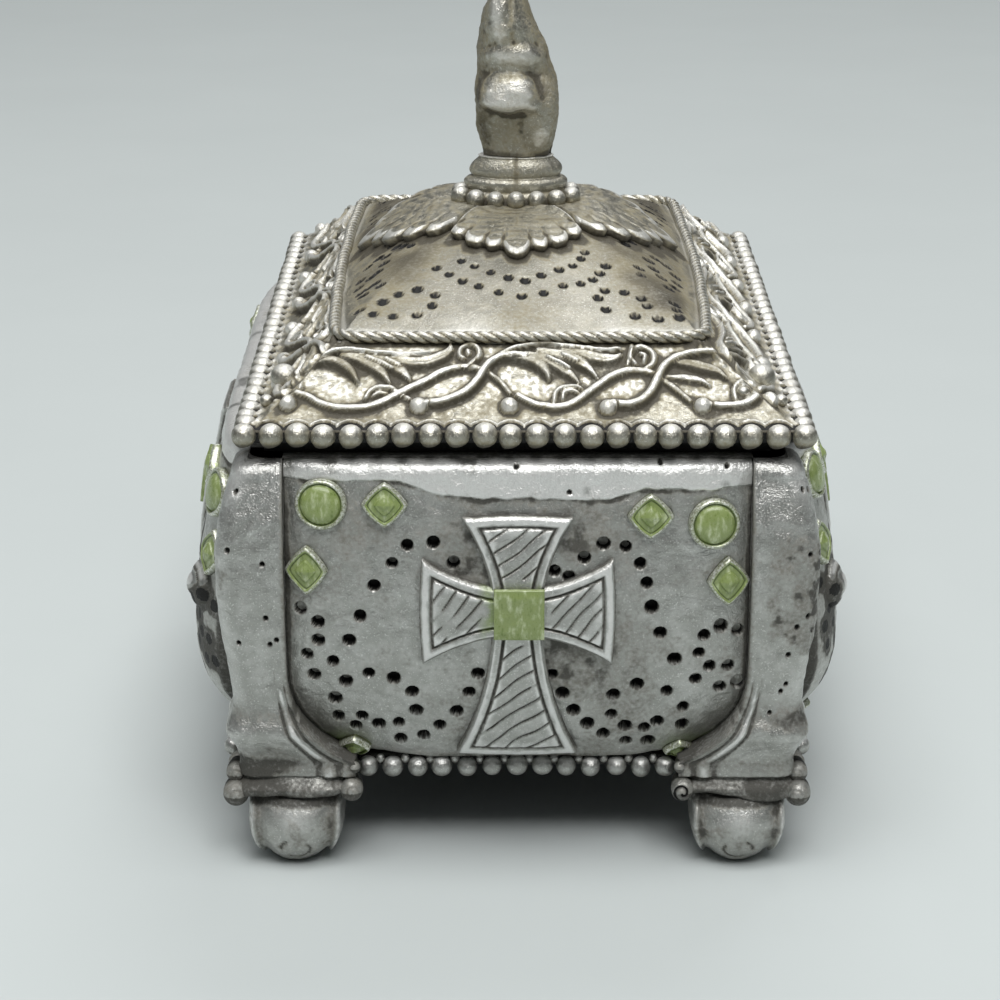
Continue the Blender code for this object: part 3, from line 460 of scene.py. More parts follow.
@dataclass
class Relief:
    """Height in mm and paint over a grid of places s, t on a smooth surface."""

    s: Array
    t: Array

    def __post_init__(self) -> None:
        """Starts every layer at nothing."""
        layers = np.zeros((6, *self.s.shape))
        self.height, self.wash, self.bright, self.stain, self.pit, self.drilled = layers

    def grained(self, scale: float, depth: float, seed: int) -> None:
        """Roughens the surface like a casting."""
        self.height += depth * grain(self.s, self.t, scale, seed)

    def holes(self, places: Array, radius: float, depth: float, seed: int = 1,
              dark: float = 0.02) -> None:
        """Drills round dots, painted black inside as shade; each differs a little in size and depth.

        Args:
            places: n x 2 places.
            radius: radius of a dot in mm.
            depth: its depth in mm.
            seed: which run of small differences.
            dark: how far the black painted shade reaches past its edge.
        """
        rng = np.random.default_rng(seed)
        for s, t in places:
            size = radius * rng.uniform(0.86, 1.1)
            near = np.hypot(self.s - s, (self.t - t) * rng.uniform(0.95, 1.1))
            inside = smoothstep(size + 0.1, size - 0.14, near)
            cut = depth * rng.uniform(0.8, 1.1) * inside
            self.height -= cut
            self.drilled += cut
            self.pit = np.maximum(self.pit, smoothstep(size + dark + 0.14, size + dark - 0.04, near))
            # Painted highlight on each dot's lower rim, below its middle.
            self.bright += 0.15 * hump(near, size + 0.3, 0.1) * smoothstep(0.0, -0.6, self.t - t)

    def stroke(self, path: Array, widths: Array, lift: float, groove: float, shade: float) -> None:
        """Lays a rounded strand along a path; where strands cross the higher one shows.

        Each segment gives every place its distance over the strand's half width there, and the
        strand's section is a half round over that share.  Painted shade lies along its lower flank and
        round its foot, more on the lower side, and a painted highlight lies along its upper flank.

        Args:
            path: n x 2 places.
            widths: half width at each.
            lift: height of the strand's crest.
            groove: depth share of a groove along the crest.
            shade: painted shade all over the strand.
        """
        widest = float(np.max(widths))
        reach = widest + 0.7
        low, high = path.min(axis=0) - reach, path.max(axis=0) + reach
        rows = np.any((self.t > low[1]) & (self.t < high[1]), axis=1)
        columns = np.any((self.s > low[0]) & (self.s < high[0]), axis=0)
        if not rows.any() or not columns.any():
            return
        window = np.ix_(rows, columns)
        s, t = self.s[window], self.t[window]
        share, rise = np.full(s.shape, 9.0), np.zeros(s.shape)
        for (a, b, w, v) in zip(path[:-1], path[1:], widths[:-1], widths[1:]):
            step = b - a
            along = np.clip(((s - a[0]) * step[0] + (t - a[1]) * step[1]) / (step @ step), 0, 1)
            off = t - a[1] - along * step[1]
            here = np.hypot(s - a[0] - along * step[0], off) / (w + (v - w) * along)
            rise = np.where(here < share, off, rise)
            share = np.minimum(share, here)
        crest = lift * np.sqrt(np.clip(1.0 - share ** 2, 0.0, 1.0))
        crest -= groove * lift * hump(share, 0.0, 0.28)
        above = (share < 1.0) & (crest > self.height[window] - 0.05)
        self.height[window] = np.where(above, np.maximum(self.height[window], crest),
                                       self.height[window])
        # Painted shade under the strand and beside its foot; painted highlight on its upper flank.
        under = smoothstep(0.25, 0.9, share) * smoothstep(0.1, -0.25, rise)
        beside = 0.9 * smoothstep(1.0 + 0.6 / widest, 1.0, share)
        beside = beside * (0.45 + 0.55 * smoothstep(0.3, -0.3, rise))
        self.wash[window] = np.where(above, 0.85 * under + shade,
                                     np.maximum(self.wash[window], beside * (share >= 1.0)))
        shine = hump(share, 0.45, 0.35) * smoothstep(0.0, 0.2, rise) * (1.0 - shade)
        self.bright[window] = np.where(above, 0.7 * shine, self.bright[window])

    def knob(self, s: float, t: float, radius: float, lift: float) -> None:
        """Sets a round berry on the surface, dark round its foot.

        Args:
            s, t: its middle.
            radius: its radius in mm.
            lift: height of its crest.
        """
        share = np.hypot(self.s - s, self.t - t) / radius
        crest = lift * np.sqrt(np.clip(1.0 - share ** 2.2, 0.0, 1.0))
        self.height = np.maximum(self.height, crest)
        ring = smoothstep(1.45, 1.02, share) * (share > 1.0)
        self.wash = np.where(share < 1.0, self.wash * 0.1, np.maximum(self.wash, ring))

    def weather(self, cells: int, depth: float = 0.22) -> Array:
        """Gathers wash in hollows and wears crests bright.

        Args:
            cells: how wide a hollow is looked for, in grid cells.
            depth: depth in mm that takes full wash.
        Returns:
            Paint for each place: wash with painted shade, brightness and stain.
        """
        whole = self.height + self.drilled
        hollow = (blur(whole, cells) - whole) / depth
        self.wash = np.clip(self.wash + 0.8 * smoothstep(0.1, 1.0, hollow), 0.0, RELIEF_WASH_AND_SHADE)
        # The dots' black painted shade.
        self.wash = np.maximum(self.wash, self.pit)
        self.bright = np.clip(self.bright + smoothstep(0.1, 0.9, -hollow), 0.0, 1.0)
        return joined(self.wash, self.bright * (1.0 - self.wash), self.stain)


@dataclass(frozen=True)
class Face:
    """One bowed face of the body."""

    side: Side

    @property
    def half(self) -> float:
        """Half width of the panel above its rounded lower corners."""
        return (SHOULDER_WIDTH if self.side.is_end else SHOULDER_LENGTH) - PANEL_MARGIN

    def edge(self, z: Array) -> Array:
        """Half width of the panel at a height."""
        below = np.clip(BODY_BOTTOM + PANEL_CORNER - z, 0.0, PANEL_CORNER)
        return self.half - PANEL_CORNER + np.sqrt(PANEL_CORNER ** 2 - below ** 2)

    def distance(self, s: Array, z: Array) -> Array:
        """Distance of the surface from the middle of the box.

        The shoulder's distance, plus the bulge at that height, less a drop that grows with the
        eighth power of the share across the panel, less the rounding of the shoulder.

        Args:
            s: places along the face.
            z: heights.
        Returns:
            Distances in mm.
        """
        share = np.clip(np.abs(s) / self.edge(z), 0.0, 1.0) ** 8
        if self.side.is_end:
            out = SHOULDER_LENGTH + END_BULGE * END_CURVE.at(body_share(z)) - END_DROP * share
        else:
            out = SHOULDER_WIDTH + FLANK_BULGE * SIDE_CURVE.at(body_share(z)) - FLANK_DROP * share
        return out - shoulder_inset(z)

    def recess(self, z: Array) -> Array:
        """Distance of the wall behind the legs."""
        leg = LEG_OUTSET * LEG_CURVE.at(body_share(z)) - LEG_THICKNESS
        base = SHOULDER_LENGTH if self.side.is_end else SHOULDER_WIDTH
        return np.minimum(base + leg, self.distance(self.edge(z), z)) - SEAT_GAP

    def place(self, s: Array, z: Array, lift: Array) -> Array:
        """Points lifted off the face along its normal, turned to the face's side.

        Args:
            s: places along the face.
            z: heights.
            lift: mm off the surface.
        Returns:
            Points in the box's frame.
        """
        step = 0.06
        top = np.minimum(z, BODY_TOP - 0.1)
        slope_s = (self.distance(s + step, top) - self.distance(s - step, top)) / (2 * step)
        slope_z = (self.distance(s, top + step) - self.distance(s, top - step)) / (2 * step)
        normal = joined(-slope_s, -np.ones_like(slope_s), -slope_z)
        normal /= np.linalg.norm(normal, axis=-1, keepdims=True)
        base = joined(s + 0 * z, -self.distance(s, z), z + 0 * s)
        return turned(base + normal * np.asarray(lift)[..., None], self.side.value)


# Drilled dots of the front panel: place along the face and height
DOTS_LEFT = (
    (-14.4, 46.8), (-11.0, 47.2), (-16.4, 44.4), (-18.8, 41.3), (-20.7, 37.0), (-22.2, 33.5),
    (-28.6, 37.8), (-26.3, 36.0), (-26.3, 33.4), (-27.9, 31.2), (-24.4, 30.4), (-27.0, 28.2),
    (-22.8, 27.3), (-19.7, 28.6), (-16.4, 27.9), (-14.0, 25.8), (-24.3, 24.5), (-24.0, 21.5),
    (-20.8, 21.6), (-13.5, 22.7), (-21.7, 19.9), (-18.6, 20.3), (-15.9, 20.5), (-15.7, 17.7),
    (-12.6, 18.3), (-10.4, 20.1), (-8.1, 22.5), (-6.4, 25.7), (-5.2, 28.6), (-8.4, 44.4))
DOTS_RIGHT = (
    (4.8, 43.3), (6.7, 42.5), (8.7, 45.1), (11.2, 47.0), (14.1, 46.6), (16.0, 44.3), (16.9, 41.7),
    (17.6, 38.3), (18.8, 34.6), (20.8, 30.7), (4.6, 28.5), (6.0, 25.5), (7.5, 22.7), (9.4, 20.5),
    (11.6, 18.7), (12.8, 25.2), (12.6, 22.0), (14.5, 20.1), (14.7, 17.4), (15.9, 26.9),
    (19.9, 25.8), (22.2, 23.1), (17.1, 19.8), (18.8, 20.8), (17.7, 17.4), (22.2, 20.2),
    (24.6, 34.2), (26.8, 35.4), (29.1, 34.6), (24.0, 31.6), (25.5, 29.5), (28.0, 29.4),
    (23.7, 27.6), (27.0, 26.2), (29.4, 26.7))
FRONT_PITS = ((-0.2, 57.0), (18.5, 57.4), (27.1, 56.9), (6.7, 53.8))
# Lower edge of the smooth band along the top of the front panel
LEDGE = ((-31, 55.2), (-22, 55.3), (-15.3, 55.2), (-9.6, 53.4), (-0.9, 52.9), (5.7, 53.0),
         (12.0, 53.0), (16.6, 54.4), (23.5, 54.0), (31, 54.3))


def panel_dots(side: Side) -> Array:
    """Drilled dots of a face; on the long faces the two halves move apart and repeat.

    Args:
        side: which face.
    Returns:
        n x 2 places along and up the face.
    """
    left, right = np.array(DOTS_LEFT), np.array(DOTS_RIGHT)
    if side.is_end:
        return np.vstack([left, right])
    shift = np.array([SHOULDER_LENGTH - SHOULDER_WIDTH, 0.0])
    inner = [left[left[:, 0] > -22.0], right[right[:, 0] < 22.0]]
    return np.vstack([left - shift, right + shift] + inner)


@dataclass(frozen=True)
class BodyPanel:
    """A bowed panel with its smooth top band, drilled dots and washed ground."""

    face: Face
    step: float

    def relief(self, s: Array, z: Array) -> Relief:
        """Everything raised or sunk on the panel.

        Args:
            s: places along the face.
            z: heights.
        Returns:
            The relief, not yet weathered.
        """
        side = self.face.side
        seed = 20 + 10 * side.value
        relief = Relief(s, z)
        relief.grained(5.0, 0.2, seed)
        relief.grained(1.3, 0.13, seed + 5)
        stretch = self.face.half / 30.5
        ledge = looked_up(LEDGE, s / stretch) + 0.25 * noise(s, z * 0.0, 1.5, seed + 7)
        band = smoothstep(-0.12, 0.2, z - ledge)
        relief.height += 0.25 * band
        uneven = smoothstep(-0.5, 0.3, noise(s, z, 2.5, seed + 8))
        relief.wash += 0.8 * hump(z - ledge, -0.3, 0.35) * uneven
        centre = hump(s, 0.0, 13.0) * hump(z, 37.0, 15.0)
        patches = smoothstep(-0.4, 0.5, grain(s, z, 7.0, seed + 11))
        relief.wash += (0.5 * centre + 0.3) * patches * (1.0 - band)
        relief.wash += 0.4 * smoothstep(-0.1, 0.5, grain(s, z, 1.6, seed + 13)) * (0.3 + 0.7 * centre)
        relief.wash *= 1.0 - 0.6 * band
        # Painted highlight along the smooth top band, which tilts up towards the light.
        relief.bright += 1.3 * band * smoothstep(-1.2, -0.2, noise(s, z, 3.0, seed + 15))
        relief.holes(panel_dots(side), 0.8, 2.0, seed, 0.07)
        if side is Side.FRONT:
            relief.holes(np.array(FRONT_PITS), 0.32, 0.5, seed)
        self.bosses(relief)
        relief.height *= smoothstep(BODY_TOP, BODY_TOP - 0.8, z)
        rim = self.face.edge(z) - np.abs(s)
        relief.wash += 0.9 * smoothstep(1.0, 0.1, rim) * smoothstep(SHOULDER_HEIGHT + 0.5, 50.0, z)
        relief.wash += 0.35 * smoothstep(1.2, 0.2, z - BODY_BOTTOM)
        self.stain_green(relief)
        return relief

    def bosses(self, relief: Relief) -> None:
        """Plain round bosses near both ends of a long face, halfway up.

        Args:
            relief: the panel's relief.
        """
        if self.face.side.is_end:
            return
        for sign in (-1, 1):
            for radius, lift in ((3.3, 1.5), (2.0, 2.0)):
                relief.knob(sign * (self.face.half - 6.5), 36.0, radius, lift)

    def stain_green(self, relief: Relief) -> None:
        """Green that ran off the stones at the lower corners.

        Args:
            relief: the panel's relief.
        """
        s, z = relief.s, relief.t
        blot = smoothstep(-0.2, 0.5, grain(s, z, 2.0, 77))
        for sign in (-1, 1):
            corner = hump(s, sign * (self.face.half - 7.0), 3.2) * hump(z, 16.8, 2.0)
            relief.stain = np.maximum(relief.stain, 0.8 * corner * (0.4 + 0.6 * blot))

    def build(self) -> None:
        """Builds the panel as one closed sheet that reaches back into the wall."""
        rows = int((BODY_TOP - BODY_BOTTOM) / self.step)
        columns = int(2 * self.face.half / self.step)
        z = np.linspace(BODY_BOTTOM, BODY_TOP, rows)[:, None]
        across = np.linspace(-1.0, 1.0, columns)[None, :]
        s = across * self.face.edge(z)
        z = z + 0.0 * s
        relief = self.relief(s, z)
        paint = relief.weather(4)
        front = self.face.place(s, z, relief.height)
        back = joined(s * 0.98, -self.face.recess(z) + 1.2, np.clip(z, BODY_BOTTOM + 0.8, BODY_TOP - 0.6))
        side = self.face.side
        Shape().slab(front, turned(back, side.value), paint).build(
            f"panel_{side.label}", "box", Slot.SILVER)


@dataclass(frozen=True)
class CrossArm:
    """One flared arm: its reach, its half width at the end and its quarter turns from the top."""

    reach: float
    end_half: float
    turns: int


CROSS_ARMS = (CrossArm(12.8, 7.3, 0), CrossArm(12.5, 7.3, 1), CrossArm(21.7, 8.2, 2),
              CrossArm(12.5, 7.3, 3))


@dataclass(frozen=True)
class Cross:
    """Cross with flared arms, each with an engraved border and slanting strokes."""

    face: Face
    waist: float = 3.2
    thickness: float = 1.5

    def arm(self, shape: Shape, arm: CrossArm) -> None:
        """Adds one arm as a closed sheet laid on the panel.

        Args:
            shape: the cross's shape, which it joins.
            arm: its sizes.
        """
        rows = int(arm.reach / 0.17)
        along = np.linspace(0.0, 1.0, rows)[:, None]
        half = self.waist + (arm.end_half - self.waist) * FLARE_CURVE.at(along)
        across = np.linspace(-1.0, 1.0, 81)[None, :]
        u = across * half
        v = along * arm.reach + 0.0 * u
        # The end bows out a little in its middle
        v = v + 0.35 * (1.0 - across ** 2) * smoothstep(0.7, 1.0, along)
        relief = Relief(u, v)
        relief.grained(1.6, 0.07, 50 + arm.turns)
        inset = half - np.abs(u)
        end_gap = arm.reach - v + 0.35 * (1.0 - across ** 2)
        line = np.minimum(inset, np.where(along > 0.3, end_gap, 9.0))
        relief.height -= 0.45 * hump(line, 1.5, 0.17)
        relief.wash += hump(line, 1.5, 0.2)
        field_share = smoothstep(1.6, 1.9, line) * smoothstep(self.waist + 0.9, self.waist + 1.6, v)
        pitch = 2.4 if arm.turns == 2 else 2.1
        slant = (v - (0.75 if arm.turns in (0, 2) else -0.9) * u) / pitch + 0.2 * noise(u, v, 3.0, 9)
        strokes = np.exp(-((slant - np.round(slant)) * pitch / 0.17) ** 2)
        strokes = strokes * field_share * smoothstep(-0.75, -0.35, noise(u, v, 2.2, 60 + arm.turns))
        relief.height -= 0.32 * strokes
        relief.wash += 0.9 * strokes
        round_off = smoothstep(0.0, 0.5, np.minimum(inset, end_gap))
        relief.height += self.thickness - 0.45 * (1.0 - round_off) - 0.1 * smoothstep(1.9, 1.2, line)
        relief.bright += 0.2
        if arm.turns == 3:
            relief.stain = 0.9 * smoothstep(5.6, 3.2, v) * smoothstep(-0.5, 0.3, grain(u, v, 1.5, 79))
        paint = relief.weather(4)
        s, z = u, v
        for _ in range(arm.turns):
            s, z = z, -s
        front = self.face.place(s, z + CROSS_HEIGHT, relief.height)
        back = self.face.place(s, z + CROSS_HEIGHT, np.full(s.shape, -0.8))
        shape.slab(front, back, paint)

    def build(self) -> None:
        """Builds the four arms, and the enamel square on their crossing."""
        shape = Shape()
        for arm in CROSS_ARMS:
            self.arm(shape, arm)
        label = self.face.side.label
        shape.build(f"cross_relief_{label}", "box", Slot.SILVER, f"cross_{label}")
        line = np.linspace(-3.1, 3.5, 44)
        s, z = np.meshgrid(line, line)
        relief = Relief(s, z)
        relief.grained(2.0, 0.12, 90)
        gap = 3.3 - np.maximum(np.abs(s - 0.2), np.abs(z - 0.2))
        relief.height += self.thickness + 0.9 + 0.15 * smoothstep(0.0, 1.2, gap)
        relief.stain += 1.0
        relief.wash += 0.3 * smoothstep(0.0, 0.6, grain(s, z, 2.0, 95))
        paint = relief.weather(3)
        front = self.face.place(s, z + CROSS_HEIGHT, relief.height)
        back = self.face.place(s, z + CROSS_HEIGHT, np.full(s.shape, 0.9))
        Shape().slab(front, back, paint).build(
            f"cross_enamel_{label}", "box", Slot.ENAMEL, f"cross_stone_{label}")


@dataclass(frozen=True)
class Gem:
    """Enamel stone in a raised setting: round, or a stepped lozenge with soft corners.

    The outline is the curve on which both places to the corner power add up to one: 2 gives a
    circle and 1.25 a soft lozenge.
    """

    name: str
    face: Face
    s: float
    z: float
    radius: float
    power: float = 2.0
    stretch: float = 1.0
    replaces: tuple[str, ...] = ()

    ROUND_ROWS = ((.02, 1.75), (.25, 1.72), (.45, 1.62), (.6, 1.46), (.7, 1.24), (.755, .95), (.79, .9),
                  (.83, 1.2), (.88, 1.27), (.94, 1.15), (.99, .75), (1.02, -.6))
    STEP_ROWS = ((.02, 1.6), (.12, 1.56), (.28, 1.3), (.4, 1.22), (.45, .9), (.52, .86), (.66, .84),
                 (.71, .8), (.76, 1.05), (.84, 1.12), (.92, .98), (.98, .6), (1.02, -.6))

    def build(self) -> None:
        """Builds the stone and its setting as one closed shell of rings from the middle outward."""
        rows = np.array(self.ROUND_ROWS if self.power >= 2.0 else self.STEP_ROWS)
        angle = full_turn(72)
        c, d = np.cos(angle), np.sin(angle)
        reach = self.radius / (np.abs(c) ** self.power + np.abs(d) ** self.power) ** (1 / self.power)
        share = drawn_out(rows, 3 * len(rows))[:, 0]
        lift = np.interp(share, rows[:, 0], rows[:, 1])[:, None]
        s = self.s + share[:, None] * reach * c
        z = self.z + share[:, None] * reach * d * self.stretch
        lift = lift + 0.07 * noise(s, z, 1.1, 31) * smoothstep(-0.6, 0.6, lift)
        trough = hump(share, 0.78 if self.power >= 2.0 else 0.71, 0.035)
        paint = painted(s, 0.8 * trough[:, None] + 0.8 * smoothstep(0.6, 0.0, lift),
                        smoothstep(0.9, 1.5, lift), smoothstep(0.93, 0.7, share)[:, None])
        Shape().tube(self.face.place(s, z, lift), paint).build(
            self.name, "box", Slot.ENAMEL, *self.replaces)


# Stones of a face: name, distance from the end, height on the left and right, radius, outline
# power, stretch upward
STONES = (("round_gem", 12.5, 52.2, 49.6, 3.35, 2.0, 1.0), ("upper_gem", 20.7, 52.2, 50.7, 3.1, 1.25, 0.97),
          ("side_gem", 10.5, 43.3, 41.8, 2.8, 1.25, 1.2), ("corner_gem", 16.0, 16.35, 15.6, 2.3, 1.3, 0.8))


@dataclass(frozen=True)
class FaceStones:
    """The enamel stones of one face."""

    face: Face

    def build(self) -> None:
        """Sets the stones of one face: rounds, upper, side and lower lozenges."""
        face = self.face
        label = face.side.label
        edge = RIM_WIDTH if face.side.is_end else RIM_LENGTH
        for sign, hand in ((-1, "left"), (1, "right")):
            nodes = {"round_gem": f"round_gem_{label}_{hand}",
                     "upper_gem": f"diamond_gem_{label}_upper_{hand}",
                     "side_gem": f"diamond_gem_{label}_lower_{hand}"}
            for name, from_end, left_z, right_z, radius, power, stretch in STONES:
                carried = (nodes[name],) if name in nodes else ()
                Gem(f"{name}_{label}_{hand}", face, sign * (edge - from_end), left_z if sign < 0 else right_z,
                    radius, power, stretch, carried).build()


@dataclass(frozen=True)
class Corner:
    """One corner of the body: its flared leg, bracket with volutes, and rolled foot."""

    name: str
    x: int
    y: int
    foot_x: float = 30.0
    foot_y: float = 49.3
    foot_radius: float = 6.5
    foot_height: float = 10.2

    def signed(self, points: Array) -> Array:
        """Points of the corner at +X +Y mirrored to this corner."""
        return points * np.array([self.x, self.y, 1.0])

    def build_leg(self) -> None:
        """Builds the leg: columns run along the front, round the outer edge and along the side."""
        z = np.linspace(13.2, BODY_TOP, 240)[:, None]
        share = np.linspace(-1.0, 1.0, 141)[None, :]
        outset = LEG_OUTSET * LEG_CURVE.at(body_share(z)) - shoulder_inset(z)
        end, flank = Face(Side.FRONT), Face(Side.RIGHT)
        far_x, far_y = SHOULDER_WIDTH + outset, SHOULDER_LENGTH + outset
        edge_x = np.maximum(end.edge(z), 21.6) + 0.15
        edge_y = np.maximum(flank.edge(z), 42.0) + 0.15
        arc = 0.25
        angle = np.clip(share / arc, -1.0, 1.0) * math.pi / 4 + math.pi / 4
        run_x = np.clip((-share - arc) / (1 - arc), 0.0, 1.0)
        run_y = np.clip((share - arc) / (1 - arc), 0.0, 1.0)
        x = far_x - LEG_ROUND + LEG_ROUND * np.sin(angle) - run_x * (far_x - LEG_ROUND - edge_x)
        y = far_y - LEG_ROUND + LEG_ROUND * np.cos(angle) - run_y * (far_y - LEG_ROUND - edge_y)
        across = share * 9.0 + 0.0 * z
        tall = z + 0.0 * share
        relief = Relief(across, tall)
        seed = 200 + 3 * self.x + self.y
        relief.grained(5.0, 0.28, seed)
        relief.grained(1.4, 0.12, seed + 4)
        inset = 9.0 - np.abs(across)
        low = smoothstep(32.0, 20.0, tall)
        sway = 0.3 * noise(across * 0, tall, 5.0, seed)
        for at in (0.9, 2.3):
            relief.height -= 0.25 * hump(inset, at + sway, 0.28) * (0.2 + 0.8 * low)
            relief.wash += 0.5 * hump(inset, at + sway, 0.25) * low
        relief.height += 0.2 * hump(inset, 1.6 + sway, 0.45) * low
        rng = np.random.default_rng(seed)
        pits = joined(rng.uniform(-8, 8, 16), rng.uniform(22, 56, 16))
        relief.holes(pits, 0.34, 0.7, seed)
        worn = smoothstep(-0.05, 0.45, grain(across * 0.6, tall * 0.7, 5.0, seed + 9))
        fleck = smoothstep(0.0, 0.4, grain(across, tall, 1.3, seed + 12))
        relief.wash += (0.5 * worn + 0.35 * worn * fleck) * smoothstep(1.0, 4.0, inset)
        relief.wash += 0.5 * smoothstep(0.8, 0.0, inset)
        # Painted highlight towards the top of the leg and along its rounded outer corner.
        relief.bright += 0.3 * smoothstep(50.0, 56.0, tall) + 0.35 * hump(across, 0.0, 2.0)
        relief.height -= 0.2 * hump(tall, 15.2, 0.9)
        relief.wash += 0.2 * hump(tall, 15.2, 0.8) + 0.35 * smoothstep(18.5, 14.5, tall)
        relief.wash += 0.45 * hump(tall, 22.5, 1.6) * (1.0 - fleck)
        paint = relief.weather(4)
        out_x = np.sin(angle) * (run_x == 0)
        out_y = np.cos(angle) * (run_y == 0)
        fade = smoothstep(0.0, 0.4, inset) * smoothstep(BODY_TOP, BODY_TOP - 0.8, tall)
        lift = relief.height * fade
        front = joined(x + out_x * lift, y + out_y * lift, tall)
        inner_x = np.minimum(x, flank.recess(z) - 1.5)
        inner_y = np.minimum(y, end.recess(z) - 1.5)
        back = joined(inner_x, inner_y, tall)
        shape = Shape().slab(self.signed(front), self.signed(back), paint)
        self.add_bracket(shape)
        shape.build(f"leg_{self.name}", "box", Slot.SILVER, f"corner_leg_{self.name}")

    def add_bracket(self, shape: Shape) -> None:
        """Adds the moulded block under the leg: soft oblong sections, hollowed halfway up.

        Args:
            shape: the leg's shape, which it joins.
        """
        levels = np.linspace(0.0, 1.0, 30)[:, None]
        angle = full_turn(120)
        swell = 0.15 * hump(levels, 0.3, 0.25) - 0.6 * smoothstep(0.12, 0.0, levels)
        swell = swell - 1.3 * smoothstep(0.3, 0.75, levels)
        c, d = np.cos(angle), np.sin(angle)
        square = (np.abs(c) ** 5 + np.abs(d) ** 5) ** (1 / 5)
        x, y = 30.2 + (7.7 + swell) * c / square, 48.9 + (5.4 + swell) * d / square
        z = 10.3 + 3.8 * levels + 0.0 * angle
        rough = 0.8 * grain(x, y + z, 4.0, 300 + self.x + 2 * self.y)
        z = z - 0.9 * smoothstep(0.5, 0.0, levels) * noise(x, y, 3.2, 305 + self.x) * (z < 12.5)
        points = joined(x + rough * c, y + rough * d, z)
        # Painted shade: the block lies in shadow under the leg's flare, so it is painted dark all over.
        wash = (0.74 + 0.1 * smoothstep(0.3, 0.0, levels)
                + 0.3 * smoothstep(0.1, 0.5, grain(x, y + z, 2.0, 310)))
        shape.tube(self.signed(points), painted(points, np.minimum(wash, FOOT_WASH_AND_SHADE)))
        scroll = 0.35 if self.x > 0 and self.y < 0 else 0.06
        lobes = ((22.3, 53.7, 11.4, 1.5, 0, scroll), (38.0, 52.9, 10.5, 1.7, 0, 0.06),
                 (38.0, 51.4, 12.9, 1.35, 0, 0.06), (38.1, 45.2, 11.6, 1.6, 1, 0.06),
                 (21.9, 53.1, 14.4, 0.75, 0, 0.0))
        for x, y, z, radius, axis, groove in lobes:
            self.add_volute(shape, np.array([x, y, z]), radius, axis, groove)

    def add_volute(self, shape: Shape, centre: Array, radius: float, axis: int, groove: float) -> None:
        """Adds a rolled lobe with a spiral groove in its outer end, facing along X or Y.

        Args:
            shape: the leg's shape, which it joins.
            centre: its middle, at +X +Y.
            radius: its radius in mm.
            axis: 0 when its spiral faces along Y, 1 when along X.
            groove: depth share of the spiral.
        """
        angle = full_turn(40)
        rows = np.array(((.02, 1.0), (.2, .98), (.4, .9), (.6, .78), (.78, .6), (.9, .4), (1.0, .1),
                         (1.03, -.3), (1.0, -1.0), (.8, -2.2)))
        share, out = (column[:, None] for column in drawn_out(rows, 40).T)
        out = out + 0.0 * angle
        turn = np.mod(angle / (2 * math.pi) - share * 1.4, 1.0)
        line = hump(turn, 0.5, 0.15) * smoothstep(1.0, 0.8, share) * (out > 0.2)
        out = out - groove * line
        a, b = radius * share * np.cos(angle), 1.05 * radius * share * np.sin(angle)
        # Painted shade on the lower half and at the back, painted highlight on the upper front.
        wash = 0.5 + 2.0 * groove * line + 0.6 * smoothstep(0.3, -0.9, out) + 0.3 * (b < 0)
        paint = painted(out, wash, 0.25 * smoothstep(0.6, 0.9, out) * (b > 0))
        out = out * radius
        points = joined(a, out, b) if axis == 0 else joined(out, a, b)
        shape.tube(self.signed(centre + points), paint)

    def build_foot(self) -> None:
        """Builds the foot: a roll about X that narrows downward, with a thin rim at each side."""
        rows = np.array(((-6.5, .3), (-6.45, 2.6), (-6.3, 4.0), (-6.05, 4.9), (-5.75, 5.3), (-5.4, 5.2),
                         (-5.0, 4.75), (-4.5, 4.95), (-3.7, 5.65), (-2.3, 6.25), (-.8, 6.5), (0., 6.5)))
        rows = np.vstack([rows, (rows * (-1, 1))[-2::-1]])
        x, radius = (column[:, None] for column in drawn_out(rows, 110).T)
        radius = blur(radius, 2)
        angle = full_turn(110)
        seed = 400 + 2 * self.x + self.y
        rough = 0.35 * grain(x + 0 * angle, angle * 6.0, 4.0, seed)
        radius = np.minimum(radius + rough, self.foot_radius)
        y, z = radius * np.cos(angle), radius * np.sin(angle)
        crease = np.hypot(x / 2.2, (angle - 5.75) / 0.28)
        line = hump(crease, 1.0, 0.14) * smoothstep(-0.3, 0.3, noise(x, angle * 5, 2.0, 44))
        y, z = y * (1 - 0.04 * line), z * (1 - 0.04 * line)
        z = np.clip(z + 6.0, 0.0, self.foot_height)
        across = x * (1.0 - 0.28 * np.clip(1.0 - z / 6.5, 0.0, 1.0) ** 1.6)
        points = joined(self.foot_x + across, self.foot_y + y, z)
        blotch = smoothstep(0.1, 0.5, grain(x + 0 * angle, angle * 6.0, 2.2, seed + 20))
        # Painted shade under the bracket at the top and along the floor, with darker grooves inside the rims
        # and along the crease; painted highlights on the rims and on the top front.
        wash = (0.5 * hump(np.abs(x), 5.0, 0.6) * smoothstep(2.0, 5.0, z)
                + 0.84 * smoothstep(8.6, 9.6, z) + 0.12 + 0.4 * smoothstep(1.2, 0.1, z) + 0.85 * line
                + 0.3 * blotch)
        bright = 0.6 * hump(np.abs(x), 5.9, 0.3) + 0.6 * hump(x, 0.0, 3.0) * hump(z, 8.0, 3.0)
        Shape().tube(self.signed(points), painted(points, np.minimum(wash, FOOT_WASH_AND_SHADE), bright)).build(
            f"foot_{self.name}", "box", Slot.SILVER, f"scroll_foot_{self.name}")


CORNERS = (Corner("front_left", -1, -1), Corner("front_right", 1, -1), Corner("back_right", 1, 1),
           Corner("back_left", -1, 1))


